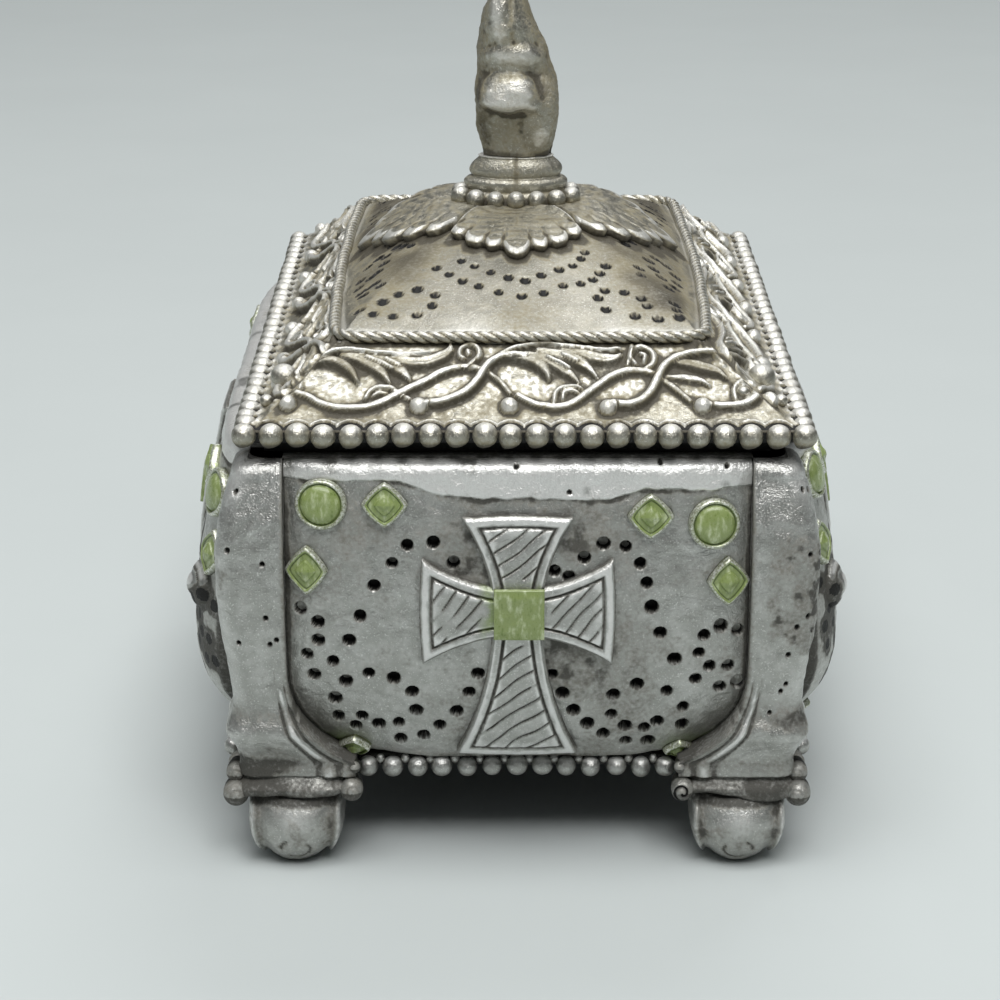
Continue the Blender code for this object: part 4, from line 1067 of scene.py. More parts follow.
@dataclass(frozen=True)
class BoxCore:
    """The wall, floor and inside of the box, which the panels and legs cover."""

    levels: tuple[float, ...] = (14.4, 15.3, 17.5, 20, 25, 30, 40, 48, 53, 55.7, 56.6, 57.4)
    corner: float = 0.6

    def build(self) -> None:
        """Builds one closed shell of rings: up the outside, over the edge and down the inside."""
        end, flank = Face(Side.FRONT), Face(Side.RIGHT)
        rings = [(float(flank.recess(z)), float(end.recess(z)), z) for z in self.levels]
        rings += [(35.2, 51.2, BODY_TOP), (CAVITY_WIDTH + 0.3, CAVITY_LENGTH + 0.3, BODY_TOP),
                  (CAVITY_WIDTH, CAVITY_LENGTH, 57.3), (CAVITY_WIDTH, CAVITY_LENGTH, 40.0),
                  (CAVITY_WIDTH, CAVITY_LENGTH, 19.6), (CAVITY_WIDTH - .8, CAVITY_LENGTH - .8, CAVITY_FLOOR)]
        grid = square_rings(rings, self.corner)
        paint = painted(grid, 0.45)
        # Painted shade: black underneath, over the shaded floor, and dark round the top edge in the gap under
        # the lid's rim
        paint[:3, :, 0] = 1.0
        paint[9:13, :, 0] = 0.7
        Shape().tube(grid, paint).build("box_wall", "box", Slot.SILVER, "box_body")


def square_rings(sizes: Sequence[tuple[float, ...]], corner: float) -> Array:
    """Rings round a rectangle with rounded corners, ten points to a corner.

    Args:
        sizes: half width, half length and height of each ring.
        corner: radius of the corners.
    Returns:
        Rings x points x 3.
    """
    size = np.array(sizes)[:, None, :]
    angle = np.repeat(np.arange(4) * math.pi / 2, 10) + np.tile(np.linspace(0, math.pi / 2, 10), 4)
    step = np.repeat(np.arange(4), 10)
    sign_x = np.where((step == 0) | (step == 3), 1.0, -1.0)
    sign_y = np.where(step < 2, 1.0, -1.0)
    x = sign_x * (size[..., 0] - corner) + corner * np.cos(angle)
    y = sign_y * (size[..., 1] - corner) + corner * np.sin(angle)
    return joined(x, y, size[..., 2] + 0.0 * x)


@dataclass(frozen=True)
class Apron:
    """The row of large beads under a face, on the strip that carries it."""

    side: Side
    end_half: float = 21.7
    flank_half: float = 43.2
    pitch: float = 3.4
    bead: float = 1.42
    height: float = 12.45

    def build(self) -> None:
        """Builds the strip, and on it the beads with a small bit between each two."""
        side = self.side
        face = Face(side)
        half = self.end_half if side.is_end else self.flank_half
        out = float(face.distance(np.array(0.0), np.array(BODY_BOTTOM))) - 0.6
        count = round(2 * (half - 1.4) / self.pitch) + 1
        rng = np.random.default_rng(500 + side.value)
        section = ((0.9, 12.2), (0.3, 13.3), (0.4, 14.1), (3.0, 14.3), (3.0, 12.2))
        strip = np.array([[(end, -out + d, z) for d, z in section] for end in (-half, half)])
        # Painted shade: the strip behind the beads is nearly black, and each bead is darker low down and
        # bright on top.
        shape = Shape().tube(turned(strip, side.value), painted(strip, 0.95))
        for along in np.linspace(-half + 1.4, half - 1.4, count):
            size = self.bead * rng.uniform(0.92, 1.06, 3)
            spot = np.array([along + rng.uniform(-.15, .15), -out, self.height + rng.uniform(-.15, .15)])
            shape.ball(turned(spot, side.value), size, 0.75, 16)
            between = np.array([along + 0.5 * self.pitch, -out + 0.2, self.height + 1.0])
            if abs(between[0]) < half - 0.5:
                shape.ball(turned(between, side.value), 0.45 * size, 0.9, 8)
        shape.build(f"bead_row_{side.label}", "box", Slot.SILVER, f"beaded_apron_{side.label}")


# Lid

def dome_z(x: Array, y: Array) -> tuple[Array, Array]:
    """Height and share of the dome over a plan place.

    The dome's rings run from a rectangle at the rope to a circle at the collar; the share of the
    ring through a place is found by halving.

    Args:
        x, y: plan places.
    Returns:
        Heights in mm, and shares from the rope to the collar.
    """
    low, high = np.zeros(x.shape), np.ones(x.shape)
    for _ in range(22):
        share = 0.5 * (low + high)
        inside = dome_reach(x, y, share) <= 0.0
        low, high = np.where(inside, share, low), np.where(inside, high, share)
    return ROPE_HEIGHT + (DOME_TOP - ROPE_HEIGHT) * (1.0 - (1.0 - low) ** DOME_FULLNESS), low


def dome_half(share: Array) -> tuple[Array, Array]:
    """Half width and half length of the dome's ring at a share."""
    return (ROPE_HALF * (1 - share) + COLLAR_SEAT * share,
            (RIM_LENGTH - ROPE_INSET) * (1 - share) + COLLAR_SEAT * COLLAR_DEPTH * share)


def dome_mix(share: Array) -> Array:
    """How round the dome's ring is at a share: 0 is a rectangle and 1 an ellipse."""
    return 0.05 + 0.95 * share ** 1.15


def dome_reach(x: Array, y: Array, share: Array) -> Array:
    """How far a plan place lies outside the dome's ring at a share; negative inside.

    Args:
        x, y: plan places.
        share: which ring.
    Returns:
        Shares of the ring's size.
    """
    width, length = dome_half(share)
    a, b = np.abs(x) / width, np.abs(y) / length
    long, short = np.maximum(a, b), np.minimum(a, b)
    mix = dome_mix(share)
    ratio = short / np.maximum(long, 1e-6)
    angle = (1 - mix) * ratio * math.pi / 4 + mix * np.arctan(ratio)
    return long - ((1 - mix) + mix * np.cos(angle))


# Dimples of the dome's front: plan places
DIMPLES = (
    (-9.4, -24.4), (-7.7, -21.0), (-5.9, -22.6), (-3.7, -24.4), (-1.3, -25.8), (1.0, -26.5),
    (3.2, -25.1), (5.7, -23.4), (7.6, -22.3), (8.8, -20.4), (9.4, -18.6), (-7.6, -26.1),
    (-5.4, -27.5), (-2.7, -29.0), (0.4, -29.9), (3.4, -29.3), (6.1, -27.5), (8.5, -26.8),
    (10.2, -25.6), (11.2, -23.9), (12.1, -21.9), (11.7, -28.1), (14.2, -28.4), (16.3, -29.7),
    (10.7, -29.9), (11.6, -32.5), (16.9, -31.5), (15.3, -34.0), (18.1, -34.4), (20.7, -33.9),
    (20.2, -30.1), (20.5, -32.0), (-18.2, -25.3), (-20.4, -25.7), (-17.9, -30.4), (-16.0, -28.8),
    (-13.6, -27.9), (-11.3, -29.5), (-11.7, -31.9), (-13.7, -33.8), (-16.7, -34.0), (-19.1, -33.3),
    (-20.8, -31.8), (-11.1, -22.6))


@dataclass(frozen=True)
class Dome:
    """The dimpled dome, from the rope up to the collar."""

    rows: int = 108
    columns: int = 860
    dimple_radius: float = 0.58
    dimple_depth: float = 0.55

    def build(self) -> None:
        """Builds the dome as a closed cap.

        Columns go round by angle and rows from the rope to the collar's seat by share.
        """
        share = np.linspace(0.0, 1.0, self.rows)[:, None]
        turn = np.linspace(0.0, 8.0, self.columns, endpoint=False)[None, :]
        quarter = np.floor(turn / 2.0)
        across = turn - 2.0 * quarter - 1.0
        mix = dome_mix(share)
        a = across * (1 - mix) + np.sin(across * math.pi / 4) * mix
        b = -(1 - mix) - np.cos(across * math.pi / 4) * mix
        cos, sin = np.cos(quarter * math.pi / 2), np.sin(quarter * math.pi / 2)
        width, length = dome_half(share)
        x, y = width * (a * cos - b * sin), length * (a * sin + b * cos)
        z = ROPE_HEIGHT + (DOME_TOP - ROPE_HEIGHT) * (1 - (1 - share) ** DOME_FULLNESS) + 0 * x
        relief = Relief(x, y)
        relief.grained(6.0, 0.18, 600)
        relief.grained(1.5, 0.05, 604)
        ends = np.array(DIMPLES)
        flank = joined(24.0 - (ends[:, 1] + 40.0) * 0.52, ends[:, 0] * 1.15)
        places = np.vstack([ends, -ends, flank, -flank])
        relief.holes(places, self.dimple_radius, self.dimple_depth, 610, 0.16)
        relief.wash += (0.35 * smoothstep(-0.4, 0.6, grain(x, y, 10.0, 620))
                        + 0.35 * smoothstep(0.5, 1.0, share))
        relief.wash += 0.5 * smoothstep(0.4, 0.95, np.abs(x) / width) * smoothstep(0.02, 0.2, share)
        outermost = np.maximum(np.abs(a), np.abs(b))
        relief.bright += 0.9 * smoothstep(0.1, 0.04, share) * smoothstep(0.88, 0.95, outermost)
        relief.bright += 0.45 * (smoothstep(0.4, 0.0, share) * smoothstep(-0.3, 0.5, noise(x, y, 7.0, 615)))
        for side in Side:
            degrees, reach = leaf_frame(side, x, y)
            # Painted shadow of each fan leaf's lobed edge on the dome just beyond it.
            under = smoothstep(1.14, 0.98, reach / leaf_edge(side, degrees)) * (np.abs(degrees) < 60.0)
            relief.wash += 0.95 * under
        paint = relief.weather(3)
        skirt = joined(x[:1], y[:1], z[:1] - 2.0)
        points = np.concatenate([skirt, joined(x, y, z + relief.height)], 0)
        paint = np.concatenate([paint[:1], paint], 0)
        Shape().tube(points, paint).build("dome", "lid", Slot.WARM)


@dataclass(frozen=True)
class Slope:
    """One sloping border of the lid with its vine scroll."""

    side: Side
    step: float = 0.2

    @property
    def foot_half(self) -> float:
        """Half length of the slope's foot."""
        return (RIM_WIDTH if self.side.is_end else RIM_LENGTH) - EDGE_INSET

    def lay(self, relief: Relief, run: "VineRun", shift: float, stretch: float = 1.0) -> None:
        """Lays one run of the vine, stretched from its start and shifted along the slope.

        Args:
            relief: the slope's relief.
            run: the stretch of vine.
            shift: mm along the slope.
            stretch: how much longer it is drawn.
        """
        for strand in run.strands:
            path = np.array(strand.path)
            path[:, 0] = (path[:, 0] - run.start) * stretch + run.start + shift
            curve = smooth_path(path, 5)
            widths = np.interp(np.linspace(0, 1, len(curve)), np.linspace(0, 1, len(strand.widths)),
                               strand.widths)
            relief.stroke(curve, widths, strand.lift, strand.groove, strand.shade)
        for s, t, radius in run.berries:
            relief.knob((s - run.start) * stretch + run.start + shift, t, radius, radius * 1.15)

    def vine(self, relief: Relief) -> None:
        """Lays the vine's two ends, and its middle run once or, on the long slopes, twice.

        Args:
            relief: the slope's relief.
        """
        longer = 0.0 if self.side.is_end else RIM_LENGTH - RIM_WIDTH
        self.lay(relief, VINE_LEFT, -longer)
        self.lay(relief, VINE_RIGHT, longer)
        if self.side.is_end:
            self.lay(relief, VINE_MIDDLE, 0.0)
            return
        span = VINE_RIGHT.start - VINE_MIDDLE.start
        stretch = (span + 2 * longer) / (2 * span)
        for number in range(2):
            self.lay(relief, VINE_MIDDLE, number * span * stretch - longer, stretch)

    def build(self) -> None:
        """Builds the slope: columns along it, rows from the beads' line up to the rope."""
        low, high = -1.9, SLANT + 0.3
        rows = int((high - low) / self.step)
        t = np.linspace(low, high, rows)[:, None]
        up = np.clip(t, 0.0, None)
        out = up * SLOPE_RUN / SLANT + np.minimum(t, 0.0)
        rise = up * SLOPE_RISE / SLANT + 0.35 * np.minimum(t, 0.0)
        half = self.foot_half - out
        columns = int(2 * self.foot_half / self.step)
        s = np.linspace(-1.0, 1.0, columns)[None, :] * half
        t = t + 0.0 * s
        relief = Relief(s, t)
        self.vine(relief)
        seed = 700 + self.side.value
        relief.grained(3.0, 0.16, seed)
        relief.grained(0.9, 0.12, seed + 3)
        ground = relief.height < 0.35
        speck = smoothstep(-0.15, 0.35, noise(s, t, 0.45, seed + 8))
        relief.wash *= np.where(ground, 0.65, 1.0)
        relief.bright += 0.9 * ground * smoothstep(2.0, 6.0, t) * speck
        relief.wash += 0.2 * ground * (1.0 - speck)
        shadow = smoothstep(-0.4, 0.6, grain(s, t, 6.0, seed + 6))
        relief.wash += 0.3 * ground * smoothstep(6.5, 1.0, t) * shadow
        self.scallops(relief)
        corner = half - np.abs(s)
        relief.height *= smoothstep(0.0, 0.6, corner)
        lumps = smoothstep(-0.1, 0.5, grain(s, t, 2.0, seed + 12)) * smoothstep(3.2, 0.6, corner)
        relief.height = np.maximum(relief.height, 0.9 * lumps * smoothstep(0.0, 0.9, corner) * (t > 1.5))
        relief.wash += 0.75 * smoothstep(0.9, 0.4, SLANT - t) + 0.3 * lumps * (relief.height < 0.5)
        paint = relief.weather(4, 0.35)
        distance = (RIM_LENGTH if self.side.is_end else RIM_WIDTH) - EDGE_INSET
        lift = relief.height
        front = joined(s, -(distance - out + lift * SLOPE_RISE / SLANT),
                       SLOPE_FOOT + rise + lift * SLOPE_RUN / SLANT)
        back = joined(s * 0.96, -(distance - out - 1.5), SLOPE_FOOT + rise - 1.6)
        shape = Shape().slab(turned(front, self.side.value), turned(back, self.side.value), paint)
        if not self.side.is_end:
            for s_at, t_at, radius in CORNER_BALLS:
                centre = np.array([s_at, -(distance - t_at * SLOPE_RUN / SLANT), SLOPE_FOOT + 0.6
                                   + t_at * SLOPE_RISE / SLANT])
                if self.side is Side.RIGHT:
                    centre[0] *= -1
                shape.ball(turned(centre, self.side.value), np.full(3, radius), 0.8, 20)
        shape.build(f"vine_slope_{self.side.label}", "lid", Slot.WARM,
                    f"vine_border_{self.side.label}")

    def scallops(self, relief: Relief) -> None:
        """Raises a thin ledge along the foot, cut in arches round the beads.

        Args:
            relief: the slope's relief.
        """
        run = (RIM_WIDTH if self.side.is_end else RIM_LENGTH) - RIM_BEAD
        pitch = 2 * run / ((RIM_BEADS_ACROSS if self.side.is_end else RIM_BEADS_ALONG) - 1)
        phase = (relief.s + run) / pitch
        gap = np.hypot((phase - np.round(phase)) * pitch, relief.t + 1.85)
        ledge = smoothstep(0.55, 0.25, relief.t) * smoothstep(1.75, 1.95, gap)
        arch = hump(gap, 2.0, 0.17) * (relief.t < 0.8)
        relief.height = np.maximum(relief.height, 0.0) * (1 - ledge) + 0.1 * ledge + 0.5 * arch
        relief.height -= 0.6 * smoothstep(1.9, 1.6, gap)
        relief.wash += 0.9 * smoothstep(1.95, 1.6, gap)
        relief.bright += 0.4 * arch


@dataclass(frozen=True)
class Strand:
    """One stem, curl or leaf blade of the vine: places along and up the slope, and half widths."""

    path: tuple[tuple[float, float], ...]
    widths: tuple[float, ...]
    lift: float = 0.8
    groove: float = 0.0
    shade: float = 0.0


@dataclass(frozen=True)
class VineRun:
    """A stretch of the vine, from a start along the slope."""

    start: float
    strands: tuple[Strand, ...]
    berries: tuple[tuple[float, float, float], ...]


# Balls at the front corner of each long slope: place along and up it, and radius
CORNER_BALLS = ((38.8, 3.3, 1.95), (44.0, 0.6, 0.9))
THIN, STEM, FINE = (0.34, 0.34), (0.5, 0.62, 0.62, 0.5), (0.28, 0.4, 0.3)
BLADE = (0.6, 1.15, 0.95, 0.12)
VINE_LEFT = VineRun(-13.7, (
    Strand(((-34.9, 7.0), (-33.9, 8.9), (-33.2, 10.8), (-30.9, 12.0), (-28.6, 11.2)), (0.6, 0.8, 0.6), 0.8),
    Strand(((-18.5, 10.4), (-15.5, 9.7), (-13.2, 9.5), (-10.9, 10.3), (-9.5, 11.4), (-9.3, 12.6)),
           BLADE, 0.9, 0.3, 0.2),
    Strand(((-21.0, 10.6), (-18.9, 10.0), (-16.8, 8.8), (-15.5, 7.6), (-14.7, 6.4)), BLADE, 0.95, 0.2, 0.25),
    Strand(((-23.0, 10.5), (-21.0, 10.0), (-19.5, 9.0), (-18.3, 7.7), (-17.3, 5.9)), BLADE, 1.0, 0.2, 0.35),
    Strand(((-27.4, 9.0), (-25.6, 9.7), (-24.1, 9.6), (-22.9, 8.8), (-22.0, 7.6), (-21.4, 5.9)),
           (0.4, 0.9, 0.85, 0.12), 1.05, 0.0, 0.45),
    Strand(((-20.0, 10.2), (-18.2, 9.2), (-17.0, 8.3)), FINE, 1.2),
    Strand(((-17.6, 9.9), (-16.0, 8.9)), FINE, 1.1),
    Strand(((-29.9, 8.6), (-28.6, 9.1), (-27.4, 9.5), (-26.2, 10.1), (-25.0, 10.7), (-23.8, 11.2),
            (-22.2, 11.3), (-20.0, 11.0), (-17.7, 10.7), (-15.4, 10.6), (-12.1, 10.7)),
           (0.55, 0.5, 0.45, 0.35, 0.25), 1.35),
    Strand(((-29.1, 7.9), (-29.0, 6.7), (-29.1, 5.2)), THIN, 0.5),
    Strand(((-20.6, 3.6), (-19.9, 4.8), (-18.7, 5.3), (-17.3, 5.2), (-16.6, 4.6)), (0.3, 0.5, 0.4), 0.9),
    Strand(((-19.6, 4.0), (-18.8, 4.5), (-17.9, 4.4)), FINE, 0.7),
    Strand(((-16.3, 4.0), (-15.2, 3.7), (-14.5, 3.1)), THIN, 0.7),
    Strand(((-29.5, 4.5), (-28.0, 3.9), (-26.7, 3.0), (-24.9, 2.2), (-23.0, 2.0), (-20.7, 2.2),
            (-18.8, 2.8), (-16.9, 3.9), (-14.8, 5.2), (-12.2, 6.8), (-10.5, 7.9), (-8.7, 8.5), (-6.7, 8.6),
            (-5.1, 8.1)), STEM, 0.95, 0.1),
), ((-31.8, 8.4, 1.95), (-34.4, 6.8, 0.8), (-30.8, 2.9, 1.2)))
VINE_MIDDLE = VineRun(-13.7, (
    Strand(((-6.4, 9.4), (-5.6, 10.6), (-5.8, 11.9), (-6.9, 12.4), (-8.0, 11.8), (-8.2, 10.6), (-7.6, 10.1)),
           (0.42, 0.42, 0.3), 0.8),
    Strand(((-7.0, 10.9), (-7.1, 11.4)), (0.4, 0.4), 0.7),
    Strand(((-7.6, 8.6), (-6.9, 9.2), (-6.4, 9.7)), THIN, 0.7),
    Strand(((5.5, 11.8), (7.8, 11.0), (10.2, 10.1), (12.0, 10.1), (13.2, 10.8)), BLADE, 0.9, 0.3, 0.2),
    Strand(((2.3, 11.3), (4.7, 10.8), (6.8, 9.9), (8.4, 8.7), (9.8, 6.9)), BLADE, 0.95, 0.2, 0.25),
    Strand(((0.6, 10.7), (2.9, 10.0), (4.5, 9.0), (6.1, 7.6), (7.4, 5.9)), BLADE, 1.0, 0.2, 0.4),
    Strand(((-2.6, 10.2), (-0.6, 10.3), (1.1, 9.8), (2.4, 8.9), (3.2, 7.6), (3.4, 6.4)),
           (0.5, 0.95, 0.9, 0.15), 1.05, 0.0, 0.4),
    Strand(((3.4, 10.2), (5.0, 9.3), (6.2, 8.4)), FINE, 1.2), Strand(((5.4, 10.6), (7.2, 9.6)), FINE, 1.1),
    Strand(((-3.8, 9.8), (-1.9, 11.3), (0.3, 12.1), (2.6, 12.4), (4.8, 12.3), (7.8, 11.9), (10.8, 11.4),
            (13.0, 11.6)), (0.4, 0.4, 0.35, 0.25), 1.0),
    Strand(((-4.5, 7.9), (-3.0, 6.3), (-1.8, 4.4)), (0.45, 0.4), 0.7, 0.0, 0.3),
    Strand(((3.9, 2.9), (4.2, 4.5), (5.2, 5.4), (6.8, 5.6), (7.6, 5.2)), (0.3, 0.42, 0.3), 0.8),
    Strand(((5.1, 3.5), (5.3, 4.6), (6.3, 5.0), (7.1, 4.6)), FINE, 0.7),
    Strand(((-0.7, 4.0), (0.7, 3.1), (2.3, 2.4), (4.4, 2.2), (6.5, 3.0), (8.2, 4.4), (10.1, 6.1),
            (12.0, 7.4), (13.8, 8.1), (15.6, 8.1), (16.8, 7.8)), STEM, 0.95, 0.1),
    Strand(((-12.5, 2.7), (-10.6, 3.0), (-8.6, 3.9), (-7.1, 5.0), (-5.9, 6.5), (-5.1, 8.1), (-4.1, 9.4),
            (-2.9, 10.2), (-1.3, 10.6), (0.6, 10.5)), (0.6, 0.66, 0.62, 0.4), 1.3, 0.1),
), ((-13.7, 2.4, 1.25), (-1.9, 2.4, 1.25)))
VINE_RIGHT = VineRun(10.9, (
    Strand(((15.7, 8.0), (17.0, 9.3), (17.1, 10.9), (16.0, 12.0), (14.7, 11.6), (14.2, 10.2), (14.8, 9.2)),
           (0.45, 0.5, 0.35), 0.9),
    Strand(((15.9, 9.6), (16.1, 10.6), (15.5, 10.9)), FINE, 0.8),
    Strand(((13.8, 9.1), (14.1, 10.8), (14.5, 12.3)), THIN, 0.6),
    Strand(((18.8, 7.2), (20.8, 7.0), (22.8, 6.6), (24.2, 5.7)), (0.4, 0.7, 0.2), 0.7),
    Strand(((19.7, 9.5), (21.7, 9.2), (23.6, 8.5), (25.3, 7.9), (26.5, 6.8)), (0.5, 1.0, 0.8, 0.15),
           0.9, 0.2, 0.4),
    Strand(((27.8, 9.9), (28.0, 8.6)), (0.9, 0.5), 0.5, 0.0, 0.75),
    Strand(((18.4, 6.5), (20.0, 4.9), (21.6, 3.2)), (0.5, 0.45), 0.7, 0.0, 0.2),
    Strand(((27.6, 3.4), (27.4, 5.1), (28.2, 6.4), (29.5, 6.6), (30.3, 5.8), (30.0, 4.5), (29.1, 3.7)),
           (0.35, 0.4), 0.7),
    Strand(((28.6, 11.8), (28.9, 9.9), (29.8, 8.2), (30.7, 7.2)), THIN, 0.8),
    Strand(((29.8, 12.3), (30.7, 10.3), (31.9, 8.9), (32.6, 7.6)), (0.4, 0.45), 1.0),
    Strand(((23.9, 2.7), (25.7, 2.5), (27.9, 2.6), (29.8, 3.4), (31.0, 5.1), (31.2, 7.0), (30.8, 8.9),
            (30.0, 10.6), (29.6, 12.3)), STEM, 1.0, 0.1),
    Strand(((11.6, 2.7), (13.2, 2.5), (14.9, 2.9), (16.3, 4.2), (17.2, 5.9), (17.9, 7.8), (18.9, 9.4),
            (20.6, 10.5), (23.0, 11.1), (25.5, 11.2), (27.4, 11.2)), (0.6, 0.7, 0.6, 0.35), 1.3, 0.1),
), ((10.9, 2.2, 1.2), (23.2, 2.5, 1.2), (28.7, 4.9, 0.75), (32.4, 6.8, 0.85)))


@dataclass(frozen=True)
class BeadRim:
    """The rim's beads and the band behind them."""

    radii: tuple[float, ...] = (1.68, 1.68, 1.7)
    band: tuple[tuple[float, ...], ...] = (
        (34.0, 50.0, 59.9), (35.6, 51.6, 59.9), (36.1, 52.1, 60.4), (36.2, 52.2, 61.4),
        (35.8, 51.8, 62.0), (34.6, 50.6, 62.3))

    def build(self) -> None:
        """Builds the beads, each a little off size and place, and then the band."""
        rng = np.random.default_rng(800)
        half_x, half_y = RIM_WIDTH - RIM_BEAD, RIM_LENGTH - RIM_BEAD
        across = np.linspace(-half_x, half_x, RIM_BEADS_ACROSS)
        along = np.linspace(-half_y, half_y, RIM_BEADS_ALONG)
        spots = [(x, y) for y in (-half_y, half_y) for x in across]
        spots += [(x, y) for x in (-half_x, half_x) for y in along[1:-1]]
        shape = Shape()
        for x, y in spots:
            merged = x > 33.0 and y < -51.0
            size = np.array(self.radii) * rng.uniform(0.93, 1.0, 3) * (1.04 if merged else 1.0)
            spot = np.array([x, y, RIM_HEIGHT]) + rng.uniform(-0.12, 0.12, 3)
            inside = np.array([RIM_WIDTH, RIM_LENGTH]) - size[:2]
            spot[:2] *= np.minimum(1.0, inside / np.abs(spot[:2]))
            shape.ball(spot, size, 0.95, 18)
        rings = square_rings(self.band, 1.2)
        # Painted shade: the band behind the beads is black, in the shaded gap under the rim.
        shape.tube(rings, painted(rings, 1.0))
        shape.build("bead_rim", "lid", Slot.WARM, "lid_bead_rim")


@dataclass(frozen=True)
class Rope:
    """The twisted border: strands wound round a path with rounded corners."""

    corner: float = 3.6
    strands: int = 3
    pitch: float = 1.65
    points: int = 1700

    def build(self) -> None:
        """Builds the border as one tube.

        The radius at an angle is the strand's crest, less a share that grows between the strands; the
        crests turn as they go along.
        """
        half_x, half_y, corner = ROPE_HALF, RIM_LENGTH - ROPE_INSET, self.corner
        knots = []
        for quarter, (sx, sy) in enumerate(((1, 1), (-1, 1), (-1, -1), (1, -1))):
            for turn in np.linspace(0, math.pi / 2, 7):
                angle = quarter * math.pi / 2 + turn
                knots.append((sx * (half_x - corner) + corner * math.cos(angle),
                              sy * (half_y - corner) + corner * math.sin(angle)))
        knots = np.array(knots + knots[:1])
        gaps = np.concatenate([[0.0], np.cumsum(np.linalg.norm(np.diff(knots, axis=0), axis=1))])
        along = np.linspace(0.0, gaps[-1], self.points, endpoint=False)
        path = joined(*(np.interp(along, gaps, knots[:, k]) for k in (0, 1)))
        ahead = np.roll(path, -1, 0) - np.roll(path, 1, 0)
        ahead /= np.linalg.norm(ahead, axis=1, keepdims=True)
        angle = full_turn(16)
        pitch = gaps[-1] / round(gaps[-1] / self.pitch)
        phase = self.strands * angle + 2 * math.pi * along[:, None] / pitch
        ridge = np.abs(np.cos(0.5 * phase))
        rough = 0.06 * grain(along[:, None] + 0 * angle, angle * 2, 1.5, 840)
        radius = ROPE_RADIUS * (0.68 + 0.3 * ridge) + rough
        sway = 0.12 * noise(along, along * 0, 5.0, 845)
        x = path[:, :1] + ahead[:, 1:] * (radius * np.cos(angle) + sway[:, None])
        y = path[:, 1:] - ahead[:, :1] * (radius * np.cos(angle) + sway[:, None])
        z = ROPE_HEIGHT + 0.95 + radius * np.sin(angle)
        rise = np.sin(angle)
        # Painted shade on the rope's underside, painted highlight on its upper crests; wash between the
        # strands.
        paint = painted(x, 0.9 * smoothstep(0.45, 0.1, ridge) + 0.6 * smoothstep(-0.1, -0.8, rise),
                        0.8 * smoothstep(0.6, 1.0, ridge) * smoothstep(0.0, 0.8, rise))
        Shape().tube(joined(x, y, z), paint, loop=True).build(
            "rope_twist", "lid", Slot.WARM, "rope_border")


@dataclass(frozen=True)
class LidCore:
    """The lid's casting under its reliefs: edge, hollow underside and locating lip."""

    over: tuple[tuple[float, ...], ...] = (
        (33.2, 49.2, 58.0), (33.2, 49.2, 59.6), (34.2, 50.2, 60.6), (34.3, 50.3, 61.6),
        (23.6, 39.6, 68.6), (17.0, 28.0, 70.6), (10.0, 12.0, 74.6), (6.0, 5.0, 77.4), (1.0, 1.0, 77.6))
    under: tuple[tuple[float, ...], ...] = (
        (1.0, 1.0, 75.6), (9.0, 11.0, 73.4), (16.0, 27.0, 69.4), (20.2, 33.0, 67.6), (20.8, 36.6, 66.6),
        (28.7, 44.7, 60.4), (28.9, 44.9, 55.7), (29.2, 45.2, 55.5), (30.6, 46.6, 55.5),
        (30.9, 46.9, 55.9), (30.9, 46.9, 57.9), (31.2, 47.2, 58.0))

    def build(self) -> None:
        """Builds one loop of rings: over the top inward, then under it outward and round the lip."""
        rings = square_rings(self.over + self.under, 0.5)
        paint = np.zeros(rings.shape)
        # Painted shade: the edge under the beads is black, in the shaded gap under the rim.
        paint[:4, :, 0] = 1.0
        paint[len(self.over):, :, 0] = 0.25
        Shape().tube(rings, paint, loop=True).build("lid_casting", "lid", Slot.WARM, "lid_shell")


# Reach of a fan leaf from its root, by angle in degrees off its middle: lobes and the notches between
LEAF_REACH = ((0, 18.4), (4, 17.7), (7.5, 15.4), (10, 16.2), (14, 16.6), (17.5, 15.0), (21, 16.0),
              (27, 15.7), (31.5, 13.9), (36, 14.8), (41, 14.2), (46, 11.6), (52, 9.2), (60, 6.6))
FLANK_REACH = ((0, 18.4), (4, 17.7), (7.5, 15.7), (10, 16.4), (14, 16.8), (17.5, 15.2), (21, 16.0),
               (27, 16.0), (31.5, 14.4), (36, 15.0), (40, 14.8), (43.5, 12.8), (48, 13.4), (53, 12.6),
               (60, 9.0))
LEAF_NOTCHES = (7.5, 17.5, 31.5, 44.0)
LEAF_ROOT, FLANK_STRETCH = 3.6, 1.35


def leaf_frame(side: Side, x: Array, y: Array) -> tuple[Array, Array]:
    """Angle off the middle in degrees, and distance from the root, of plan places on a fan leaf.

    Args:
        side: where the leaf lies.
        x, y: plan places.
    Returns:
        Degrees, and distances in mm.
    """
    for _ in range(side.value):
        x, y = y, -x
    stretch = 1.0 if side.is_end else FLANK_STRETCH
    across, down = x / stretch, -y - LEAF_ROOT
    return np.degrees(np.arctan2(across, down)), np.hypot(across, down)


def leaf_edge(side: Side, degrees: Array) -> Array:
    """Reach of the fan leaf at an angle."""
    return looked_up(LEAF_REACH if side.is_end else FLANK_REACH, np.abs(degrees))


